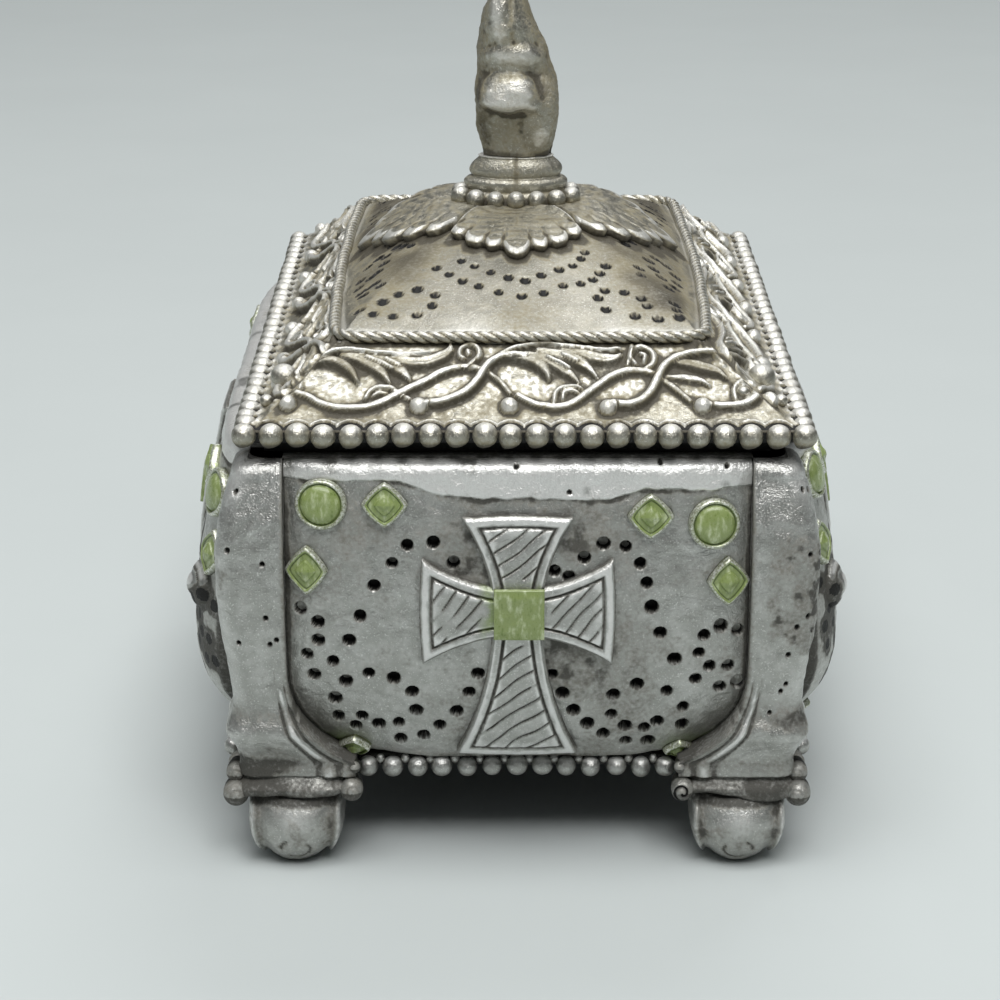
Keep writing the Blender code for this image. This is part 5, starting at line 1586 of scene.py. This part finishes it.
@dataclass(frozen=True)
class DomeLeaf:
    """One fan leaf of the dome."""

    side: Side
    spread: float = 58.0

    def build(self) -> None:
        """Builds one fan leaf: scalloped lobes that stand off the dome, fluted, with a brown midrib.

        Columns go across the fan by angle and rows from the root outward to the reach at that angle.
        """
        side = self.side
        degrees = np.linspace(-self.spread, self.spread, 301)[None, :]
        share = np.linspace(0.02, 1.0, 84)[:, None]
        edge = blur(leaf_edge(side, degrees), 2)
        reach = share * edge
        theta = np.radians(degrees)
        stretch = 1.0 if side.is_end else FLANK_STRETCH
        x, y = stretch * reach * np.sin(theta), -(LEAF_ROOT + reach * np.cos(theta))
        plan = turned(joined(x, y, 0.0 * x), side.value)
        z, _ = dome_z(plan[..., 0], plan[..., 1])
        notch = np.zeros(degrees.shape)
        for at in LEAF_NOTCHES:
            notch = np.maximum(notch, hump(np.abs(degrees), at, 0.9 + 0.02 * at))
        relief = Relief(x, y)
        inward = (1.0 - share) * edge
        rounding = np.sqrt(np.clip(inward / 0.9, 0.0, 1.0))
        relief.height = 0.35 + 0.7 * smoothstep(0.1, 0.8, share) + 0.35 * rounding
        relief.height += 0.15 * hump(inward, 0.9, 0.6) - 0.3 * notch * smoothstep(0.55, 0.92, share)
        ribs = np.cos(2 * math.pi * (share * edge - 0.4 * np.abs(x)) / 1.5)
        relief.height += (0.035 * ribs * smoothstep(1.0, 2.4, inward)
                          + 0.12 * grain(x, y, 1.6, 900 + side.value))
        relief.wash = 0.85 * notch * smoothstep(0.78, 0.92, share) + 0.3 + 0.12 * ribs * (inward > 1.5)
        relief.wash += 0.3 * smoothstep(-0.2, 0.5, grain(x, y, 4.0, 905)) - 0.5 * hump(inward, 0.6, 0.8)
        relief.bright = 0.9 * hump(inward, 0.7, 0.6) * (1.0 - notch)
        paint = relief.weather(3)
        midrib = hump(x, 0.0, 0.5) * smoothstep(0.72, 0.5, share)
        paint[..., 0] = np.maximum(paint[..., 0], 0.6 * midrib)
        points = joined(plan[..., 0], plan[..., 1], z + relief.height)
        root = turned(np.array([0.0, -LEAF_ROOT, 0.0]), side.value)
        back = joined(*(plan[..., k] * 0.94 + root[k] * 0.06 for k in (0, 1)), z - 0.5)
        Shape().slab(points, back, paint).build(
            f"leaf_{side.label}", "lid", Slot.WARM, f"dome_leaf_{side.label}")


def turned_rings(profile: Sequence[tuple[float, float]], columns: int, rows: int) -> Array:
    """Rings turned about Z through an eased profile of radius and height.

    Args:
        profile: radii and heights.
        columns: points round a ring.
        rows: about how many rings.
    Returns:
        Rings x columns x 3 points.
    """
    curve = smooth_path(profile, rows // len(profile))
    angle = full_turn(columns)
    radius = np.maximum(curve[:, :1], 0.05)
    return joined(radius * np.cos(angle), radius * np.sin(angle), curve[:, 1:] + 0 * angle)


@dataclass(frozen=True)
class Collar:
    """The stepped collar and the ring of beads at its foot, both oval in plan."""

    beads: int = 14
    bead: float = 1.45
    ring: tuple[float, float, float] = (8.4, 4.62, 81.0)
    profile: tuple[tuple[float, float], ...] = (
        (0.0, 78.6), (7.8, 78.7), (8.3, 79.6), (8.1, 80.8), (7.4, 81.5), (6.9, 81.9), (7.15, 82.3),
        (7.45, 82.8), (7.4, 83.3), (6.9, 83.7), (6.4, 83.85), (6.3, 84.0), (6.55, 84.3), (6.7, 84.8),
        (6.55, 85.3), (6.2, 85.8), (5.75, 86.2), (5.3, 86.6), (5.0, 86.9), (0.0, 87.0))

    def build(self) -> None:
        """Builds the collar with its seam in front, then the beads at even steps round the oval."""
        rings = turned_rings(self.profile, 110, 110)
        angle = np.arctan2(rings[..., 1], rings[..., 0])
        from_front = np.mod(angle + 0.5 * math.pi, 2 * math.pi)
        from_front = from_front - 2 * math.pi * (angle < -0.5 * math.pi)
        seam = hump(from_front, 0.0, 0.07)
        rough = 1 + 0.02 * grain(angle * 8, rings[..., 2], 2.0, 950) - 0.012 * seam
        radius = np.hypot(rings[..., 0], rings[..., 1])
        rings = joined(rings[..., 0] * rough, rings[..., 1] * rough * COLLAR_DEPTH, rings[..., 2])
        dip = blur(radius, 3) - radius
        wash = (0.15 + 0.8 * smoothstep(0.0, 0.3, dip) + 0.75 * smoothstep(81.7, 81.0, rings[..., 2])
                + 0.5 * seam)
        shape = Shape().tube(rings, painted(rings, wash, smoothstep(0.0, 0.25, -dip)))
        rng = np.random.default_rng(960)
        turns = np.linspace(0.0, 2 * math.pi, 721)
        wide, deep, level = self.ring
        steps = np.hypot(np.diff(wide * np.cos(turns)), np.diff(deep * np.sin(turns)))
        run = np.concatenate([[0.0], np.cumsum(steps)])
        for turn in np.interp((np.arange(self.beads) + 0.5) / self.beads * run[-1], run, turns):
            size = self.bead * rng.uniform(0.9, 1.0, 3)
            shape.ball(np.array([wide * math.cos(turn), deep * math.sin(turn), level]), size, 0.9, 16)
        shape.build("collar", "lid", Slot.WARM, "finial_collar")


# Share of the finial's height, and its half width and half depth there in mm
FINIAL_ROWS = np.array(((0.00, 4.9, 2.8), (0.06, 5.1, 3.1), (0.17, 5.75, 4.2), (0.26, 5.95, 4.7),
                        (0.34, 5.9, 4.5), (0.40, 5.45, 4.4), (0.46, 5.2, 4.8), (0.58, 4.2, 5.4),
                        (0.70, 2.95, 4.9), (0.83, 1.8, 3.3), (0.94, 0.95, 1.6), (1.00, 0.35, 0.45)))


@dataclass(frozen=True)
class Finial:
    """The bud: an oval body carved with folds, the same on both broad sides."""

    rows: int = 260
    columns: int = 220
    lean: float = 1.45

    def build(self) -> None:
        """Builds the bud as one tube of rings, carved.

        The carving is a height over the body by its place across, from -1 to 1, and its height above
        the collar.  The hood and the lobe are rounds of an ellipse, the recess under them is cut in.
        """
        share = np.linspace(0.0, 1.0, self.rows)[:, None]
        angle = full_turn(self.columns)
        wide, deep = (blur(np.interp(share, FINIAL_ROWS[:, 0], FINIAL_ROWS[:, k]), 5) for k in (1, 2))
        c, d = np.cos(angle), np.sin(angle)
        tall = share * FINIAL_HEIGHT + 0 * angle
        u = wide * c
        flat = smoothstep(0.1, 0.5, np.abs(d))
        relief = Relief(angle * 5.0 + 0 * share, tall)

        def mound(at_u: float, at_z: float, half_u: float, half_z: float, lift: float) -> Array:
            """Round of an ellipse on the broad sides."""
            reach = ((u - at_u) / half_u) ** 2 + ((tall - at_z) / half_z) ** 2
            return lift * flat * np.sqrt(np.clip(1.0 - reach, 0.0, 1.0))

        lip = 7.3 + 0.25 * np.sin(u * 1.3 + 0.4) - 0.1 * u
        hood = mound(-0.9, 8.4, 4.4, 4.6, 2.0) * smoothstep(lip - 1.2, lip + 0.4, tall)
        lobe = mound(4.0, 5.6, 2.9, 5.8, 0.9)
        recess = mound(-1.4, 4.0, 4.2, 4.6, 1.0) * smoothstep(lip + 0.4, lip - 1.0, tall)
        crease = hump(u, 0.0, 3.4) * flat
        folds = 0.7 * mound(0.0, 14.6, 4.6, 1.9, 1.0)
        ridge_at = -0.4 + 0.04 * (tall - 16.0)
        upper = smoothstep(15.5, 18.0, tall)
        relief.height += np.maximum(hood, lobe) + folds - 0.6 * recess
        relief.height += 0.5 * upper * hump(u, ridge_at - 1.0, 1.3) * flat
        relief.height -= (0.3 * crease * hump(tall, 12.1 + 0.08 * u, 0.5)
                          + 0.25 * crease * hump(tall, 16.6, 0.7))
        relief.height -= 0.35 * flat * hump(u, 3.0, 1.0) * hump(tall, 10.4, 1.8)
        relief.height -= 0.2 * upper * hump(u, ridge_at + 0.7, 0.4) * flat * smoothstep(26.0, 21.0, tall)
        relief.height += 0.3 * mound(2.9, 2.6, 1.4, 1.7, 1.0)
        relief.height = blur(relief.height, 3)
        relief.height += 0.4 * grain(relief.s, tall, 4.0, 970) + 0.13 * grain(relief.s, tall, 1.1, 975)
        # Painted shade: in the recess, towards the narrow sides, along the hood's left edge, in the grooves,
        # in the hollow on the right and at the foot.
        relief.wash += (0.12 + 0.3 * recess + 0.45 * smoothstep(0.5, 0.95, np.abs(c))
                        + 0.5 * flat * hump(u, -4.6, 0.8) * hump(tall, 9.5, 2.2))
        relief.wash += (0.3 * upper * hump(u, ridge_at + 0.7, 0.5) * flat
                        + 0.3 * hump(tall, 12.1, 0.5) * crease)
        relief.wash += (0.6 * hump(u, 3.2, 1.2) * hump(tall, 10.0, 2.2) * flat
                        + 0.5 * smoothstep(1.2, 0.2, tall))
        # Painted highlights on the hood's cap, the upper folds, the ridge and the small lower mound.
        relief.bright += 1.0 * mound(-1.0, 9.3, 3.0, 2.3, 1.0) + 0.8 * crease * hump(tall, 14.8, 1.0)
        relief.bright += (0.8 * upper * hump(u, ridge_at - 1.2, 0.9) * flat
                          + 0.9 * mound(3.0, 3.0, 1.0, 1.6, 1.0))
        paint = relief.weather(4)
        lift = relief.height * smoothstep(1.0, 0.92, share)
        lean = self.lean * smoothstep(9.0, 24.0, tall) * smoothstep(FINIAL_HEIGHT, 20.0, tall)
        x = u + lift * c - lean
        y = deep * d + lift * np.sign(d) * np.minimum(1.0, 1.6 * np.abs(d))
        Shape().tube(joined(x, y, FINIAL_BASE - 0.1 + tall), paint).build(
            "bud", "lid", Slot.WARM, "finial")


# Materials

def linear(code: str) -> Colour:
    """Linear colour of an sRGB hex code such as B8BABA."""
    parts = [int(code[i:i + 2], 16) / 255.0 for i in (0, 2, 4)]
    return tuple(p / 12.92 if p <= 0.04045 else ((p + 0.055) / 1.055) ** 2.4 for p in parts) + (1.0,)


@dataclass
class Graph:
    """Node tree of a new material or world, with one call that adds a node and its inputs."""

    owner: bpy.types.Material | bpy.types.World

    def __post_init__(self) -> None:
        """Empties the owner's node tree."""
        self.owner.use_nodes = True
        self.tree = self.owner.node_tree
        self.tree.nodes.clear()
        self.count = 0

    def add(self, kind: str, inputs: dict | None = None, **settings) -> bpy.types.Node:
        """Adds a node; an input that is a socket is linked, any other value is set on it.

        Args:
            kind: the node's type without its ShaderNode prefix.
            inputs: values or sockets by input name or number.
            settings: properties of the node itself.
        Returns:
            The new node.
        """
        node = self.tree.nodes.new("ShaderNode" + kind)
        node.location = (220 * (self.count % 8), -260 * (self.count // 8))
        self.count += 1
        for key, value in settings.items():
            setattr(node, key, value)
        for key, value in (inputs or {}).items():
            if isinstance(value, bpy.types.NodeSocket):
                self.tree.links.new(value, node.inputs[key])
            else:
                node.inputs[key].default_value = value
        return node

    def math(self, operation: str, a: Socket, b: Socket | float = 0.0, clamp: bool = False) -> Socket:
        """Result of one math node."""
        return self.add("Math", {0: a, 1: b}, operation=operation, use_clamp=clamp).outputs[0]

    def mix(self, share: Socket, first: Socket | Colour, second: Socket | Colour) -> Socket:
        """Colour between two colours."""
        return self.add("Mix", {0: share, 6: first, 7: second}, data_type="RGBA").outputs[2]

    def ramp(self, value: Socket, low: float, high: float, to_low: float = 0.0,
             to_high: float = 1.0) -> Socket:
        """Value eased from one range to another and held at its ends."""
        return self.add("MapRange", {"Value": value, "From Min": low, "From Max": high,
                                     "To Min": to_low, "To Max": to_high},
                        interpolation_type="SMOOTHSTEP").outputs[0]

    def swing(self, value: Socket, amount: float) -> Socket:
        """Noise moved to swing about 0, by an amount."""
        return self.math("MULTIPLY", self.math("SUBTRACT", value, 0.5), amount)

    def painted(self) -> bpy.types.NodeOutputs:
        """The wash with painted shade, the brightness from wear and painted highlights, and the stain painted
        on the piece.
        """
        colour = self.add("Attribute", attribute_name="paint").outputs["Color"]
        return self.add("SeparateColor", {0: colour}).outputs

    def noise(self, place: Socket, size_mm: float, detail: float = 3.0, rough: float = 0.55) -> Socket:
        """Noise whose lumps are the given size in mm."""
        return self.add("TexNoise", {"Vector": place, "Scale": 1.0 / (size_mm * MM),
                                     "Detail": detail, "Roughness": rough}).outputs[0]


@dataclass(frozen=True)
class ResinFinish:
    """Cast resin brushed with metallic paint over a dark antiquing wash; the same dark colour also gives
    painted shade, and the highlight colour painted highlights.
    """

    name: str
    metal: str
    metal_worn: str
    highlight: str
    wash: str
    wash_light: str
    metallic: float
    roughness: float
    wash_bias: float
    sparkle: float
    green: str = "8CA550"
    hole: str = "0E0D0A"

    def material(self) -> bpy.types.Material:
        """Builds the material from the painted attribute and noise in object coordinates."""
        g = Graph(bpy.data.materials.new(self.name))
        wash_and_shade_paint, bright, stain = g.painted()
        place = g.add("TexCoord").outputs["Object"]
        broad, patch = g.noise(place, 9.0), g.noise(place, 2.2, 4.0)
        grain_field, spark = g.noise(place, 0.5, 3.0, 0.65), g.noise(place, 0.25, 2.0, 0.6)
        loose = g.math("ADD", g.swing(patch, 1.0), g.swing(broad, 0.7))
        cover = g.math("ADD", g.math("ADD", wash_and_shade_paint, loose), g.swing(grain_field, 1.2))
        wash = g.ramp(g.math("ADD", cover, self.wash_bias), 0.15, 1.0)
        deep = g.ramp(wash_and_shade_paint, 0.4, 0.85)
        shine = g.ramp(bright, 0.1, 0.9)
        metal = g.mix(g.ramp(patch, 0.35, 0.7), linear(self.metal), linear(self.metal_worn))
        # The bright paint, from wear and painted highlights, turns the metal towards the highlight colour.
        metal = g.mix(g.math("MULTIPLY", shine, 0.7), metal, linear(self.highlight))
        metal = g.mix(g.ramp(spark, 0.56, 0.7, 0.0, self.sparkle), metal, linear(self.highlight))
        tone = g.mix(g.math("MULTIPLY", deep, 0.9), linear(self.wash_light), linear(self.wash))
        # The dark paint darkens the metal: antiquing wash in hollows, and painted shade under and between
        # parts.
        colour = g.mix(g.math("MULTIPLY", wash, 0.92), metal, tone)
        colour = g.mix(g.math("MULTIPLY", stain, 0.75), colour, linear(self.green))
        # Painted shade: the deepest paint, in holes and gaps, turns black.
        hole = g.ramp(wash_and_shade_paint, HOLE_SHADE_FROM, 0.97)
        colour = g.mix(hole, colour, linear(self.hole))
        dull = g.math("MAXIMUM", g.math("MAXIMUM", wash, g.math("MULTIPLY", stain, 0.8)), hole)
        rough = g.math("ADD", g.math("MULTIPLY", dull, 0.3), g.swing(grain_field, 0.25))
        rough = g.math("ADD", rough, self.roughness, clamp=True)
        height = g.math("ADD", g.math("MULTIPLY", grain_field, 0.8), g.math("MULTIPLY", spark, 0.4))
        bump = g.add("Bump", {"Strength": 0.75, "Distance": 0.00016, "Height": height})
        metallic = g.math("MULTIPLY", g.ramp(dull, 0.0, 1.0, self.metallic, 0.1),
                          g.ramp(shine, 0.0, 1.0, 1.0, 0.6))
        shader = g.add("BsdfPrincipled", {"Base Color": colour, "Roughness": rough, "Metallic": metallic,
                                          "Normal": bump.outputs[0]})
        g.add("OutputMaterial", {0: shader.outputs[0]})
        return g.owner


@dataclass(frozen=True)
class EnamelFinish:
    """Glossy brushed enamel, mottled, in a setting of silvered resin."""

    name: str
    enamel: str
    pale: str
    dark: str
    setting: str
    crevice: str = "39471F"
    setting_bright: str = "E6E8E0"
    setting_dark: str = "54573F"

    def material(self) -> bpy.types.Material:
        """Builds the material; the third paint channel tells the stone from its setting."""
        g = Graph(bpy.data.materials.new(self.name))
        wash, _, stone_paint = g.painted()
        place = g.add("TexCoord").outputs["Object"]
        stroke = g.add("Mapping", {0: place, "Scale": (1.0, 1.0, 0.45)}).outputs[0]
        mottle, fine = g.noise(stroke, 0.9, 4.0, 0.6), g.noise(place, 0.3, 3.0)
        colour = g.mix(g.ramp(mottle, 0.48, 0.72, 0.0, 0.8), linear(self.enamel), linear(self.pale))
        colour = g.mix(g.ramp(mottle, 0.42, 0.25), colour, linear(self.dark))
        colour = g.mix(g.math("MULTIPLY", g.ramp(wash, 0.15, 0.9), 0.85), colour, linear(self.crevice))
        rim = g.mix(g.ramp(fine, 0.4, 0.65), linear(self.setting), linear(self.setting_bright))
        rim = g.mix(g.ramp(wash, 0.1, 0.7), rim, linear(self.setting_dark))
        rim = g.mix(g.ramp(mottle, 0.45, 0.65, 0.0, 0.35), rim, linear(self.enamel))
        stone = g.ramp(stone_paint, 0.3, 0.6)
        colour = g.mix(stone, rim, colour)
        bump = g.add("Bump", {"Strength": 0.4, "Distance": 0.0001, "Height": g.math("ADD", mottle, fine)})
        shader = g.add("BsdfPrincipled", {
            "Base Color": colour, "Metallic": g.ramp(stone, 0.0, 1.0, 0.55, 0.0),
            "Roughness": g.ramp(fine, 0.3, 0.7, 0.26, 0.42), "Coat Weight": 0.35,
            "Coat Roughness": 0.12, "Normal": bump.outputs[0]})
        g.add("OutputMaterial", {0: shader.outputs[0]})
        return g.owner


SILVER = ResinFinish("antiqued_silver_resin", metal="A8A8A3", metal_worn="BFBFBB", highlight="F7F7F4",
                     wash="2B2820", wash_light="77746A", metallic=0.9, roughness=0.35, wash_bias=0.09,
                     sparkle=0.5)
WARM = ResinFinish("warm_silver_resin", metal="A19E92", metal_worn="B9B6AA", highlight="F3F2EC",
                   wash="322C20", wash_light="8D8468", metallic=0.88, roughness=0.34, wash_bias=0.17,
                   sparkle=0.65)
ENAMEL = EnamelFinish("green_enamel", enamel="88975C", pale="C3CDA6", dark="62772F", setting="A9AC95")

FINISHES = {Slot.SILVER: SILVER, Slot.WARM: WARM, Slot.ENAMEL: ENAMEL}


@cache
def finish_of(slot: Slot) -> bpy.types.Material:
    """Material of a slot, built at its first use."""
    return FINISHES[slot].material()


# Studio

@dataclass(frozen=True)
class Studio:
    """Pale floor, soft lights and the camera at the photograph's place."""

    focal_pixels: float = 2700.0
    image_pixels: float = 1000.0
    camera_place: tuple[float, float, float] = (-2.3, -384.2, 169.2)
    pitch: float = 19.4

    def camera(self) -> None:
        """Sets the camera so that a pixel covers the same angle as in the photograph."""
        lens = bpy.data.cameras.new("photo_camera")
        lens.sensor_fit = "HORIZONTAL"
        lens.sensor_width = 36.0
        lens.lens = self.focal_pixels / self.image_pixels * lens.sensor_width
        lens.clip_start, lens.clip_end = 0.01, 20.0
        eye = bpy.data.objects.new("photo_camera", lens)
        eye.location = [value * MM for value in self.camera_place]
        eye.rotation_euler = (math.radians(90.0 - self.pitch), 0.0, 0.0)
        bpy.context.scene.collection.objects.link(eye)
        bpy.context.scene.camera = eye

    def lamp(self, name: str, place: tuple[float, float, float], size: tuple[float, float],
             watts: float) -> None:
        """Adds an oblong softbox, in metres, that faces the box.

        Args:
            name: the lamp's name.
            place: where it hangs, in metres.
            size: its two sides, in metres.
            watts: its power.
        """
        light = bpy.data.lights.new(name, "AREA")
        light.shape, light.energy = "RECTANGLE", watts
        light.size, light.size_y = size
        lamp = bpy.data.objects.new(name, light)
        lamp.location = place
        aim = np.array([0.0, 0.0, 0.05]) - np.array(place)
        flat = math.hypot(aim[0], aim[1])
        lamp.rotation_euler = (math.atan2(flat, -aim[2]), 0.0, math.atan2(-aim[0], aim[1]))
        bpy.context.scene.collection.objects.link(lamp)

    def floor(self) -> None:
        """Lays the plain floor out to the horizon."""
        g = Graph(bpy.data.materials.new("pale_studio_paper"))
        soft = g.noise(g.add("TexCoord").outputs["Object"], 60.0)
        colour = g.mix(soft, linear("C2C8C7"), linear("C7CDCC"))
        shader = g.add("BsdfPrincipled", {"Base Color": colour, "Roughness": 0.9, "Specular IOR Level": 0.1})
        g.add("OutputMaterial", {0: shader.outputs[0]})
        reach = 3.0
        mesh = bpy.data.meshes.new("studio_floor")
        mesh.from_pydata([(-reach, -reach, 0), (reach, -reach, 0), (reach, reach, 0), (-reach, reach, 0)],
                         [], [(0, 1, 2, 3)])
        mesh.materials.append(g.owner)
        floor = bpy.data.objects.new("studio_floor", mesh)
        bpy.context.scene.collection.objects.link(floor)

    def world(self) -> None:
        """Sets a surround that is dim at the horizon and brighter overhead."""
        g = Graph(bpy.data.worlds.new("studio"))
        aim = g.add("SeparateXYZ", {0: g.add("TexCoord").outputs["Generated"]}).outputs["Z"]
        colour = g.mix(g.ramp(aim, -0.05, 0.85), linear("3E4041"), linear("B4B7B8"))
        glow = g.add("Background", {0: colour, 1: 0.58})
        g.add("OutputWorld", {0: glow.outputs[0]})
        bpy.context.scene.world = g.owner

    def build(self) -> None:
        """Builds the whole studio."""
        self.camera()
        self.floor()
        self.world()
        self.lamp("overhead_softbox", (-0.05, -0.28, 1.15), (0.9, 0.7), 9.4)
        self.lamp("back_softbox", (0.2, 0.8, 1.2), (0.8, 0.4), 4.6)
        self.lamp("front_window", (0.1, -0.75, 1.05), (0.7, 0.3), 5.0)
        bpy.context.scene.view_settings.view_transform = "Standard"


def dress_frame(frame: dict) -> None:
    """Gives every CAD node the procedural material of its slot.
    """
    finishes = {slot.value.split("_")[0]: finish_of(slot) for slot in Slot}
    for node in frame["nodes"].values():
        for holder in node.material_slots:
            for word, material in finishes.items():
                if holder.material and word in holder.material.name:
                    holder.material = material
                    break


def main() -> None:
    """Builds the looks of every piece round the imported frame."""
    logging.basicConfig(level=logging.INFO, format="%(message)s")
    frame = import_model()
    dress_frame(frame)
    BoxCore().build()
    for side in Side:
        face = Face(side)
        for part in (BodyPanel(face, END_STEP if side.is_end else FLANK_STEP), Cross(face), FaceStones(face),
                     Apron(side), Slope(side), DomeLeaf(side)):
            part.build()
    for corner in CORNERS:
        corner.build_leg()
        corner.build_foot()
    for part in (LidCore(), BeadRim(), Rope(), Dome(), Collar(), Finial()):
        part.build()
    Studio().build()


if __name__ == "__main__":
    main()
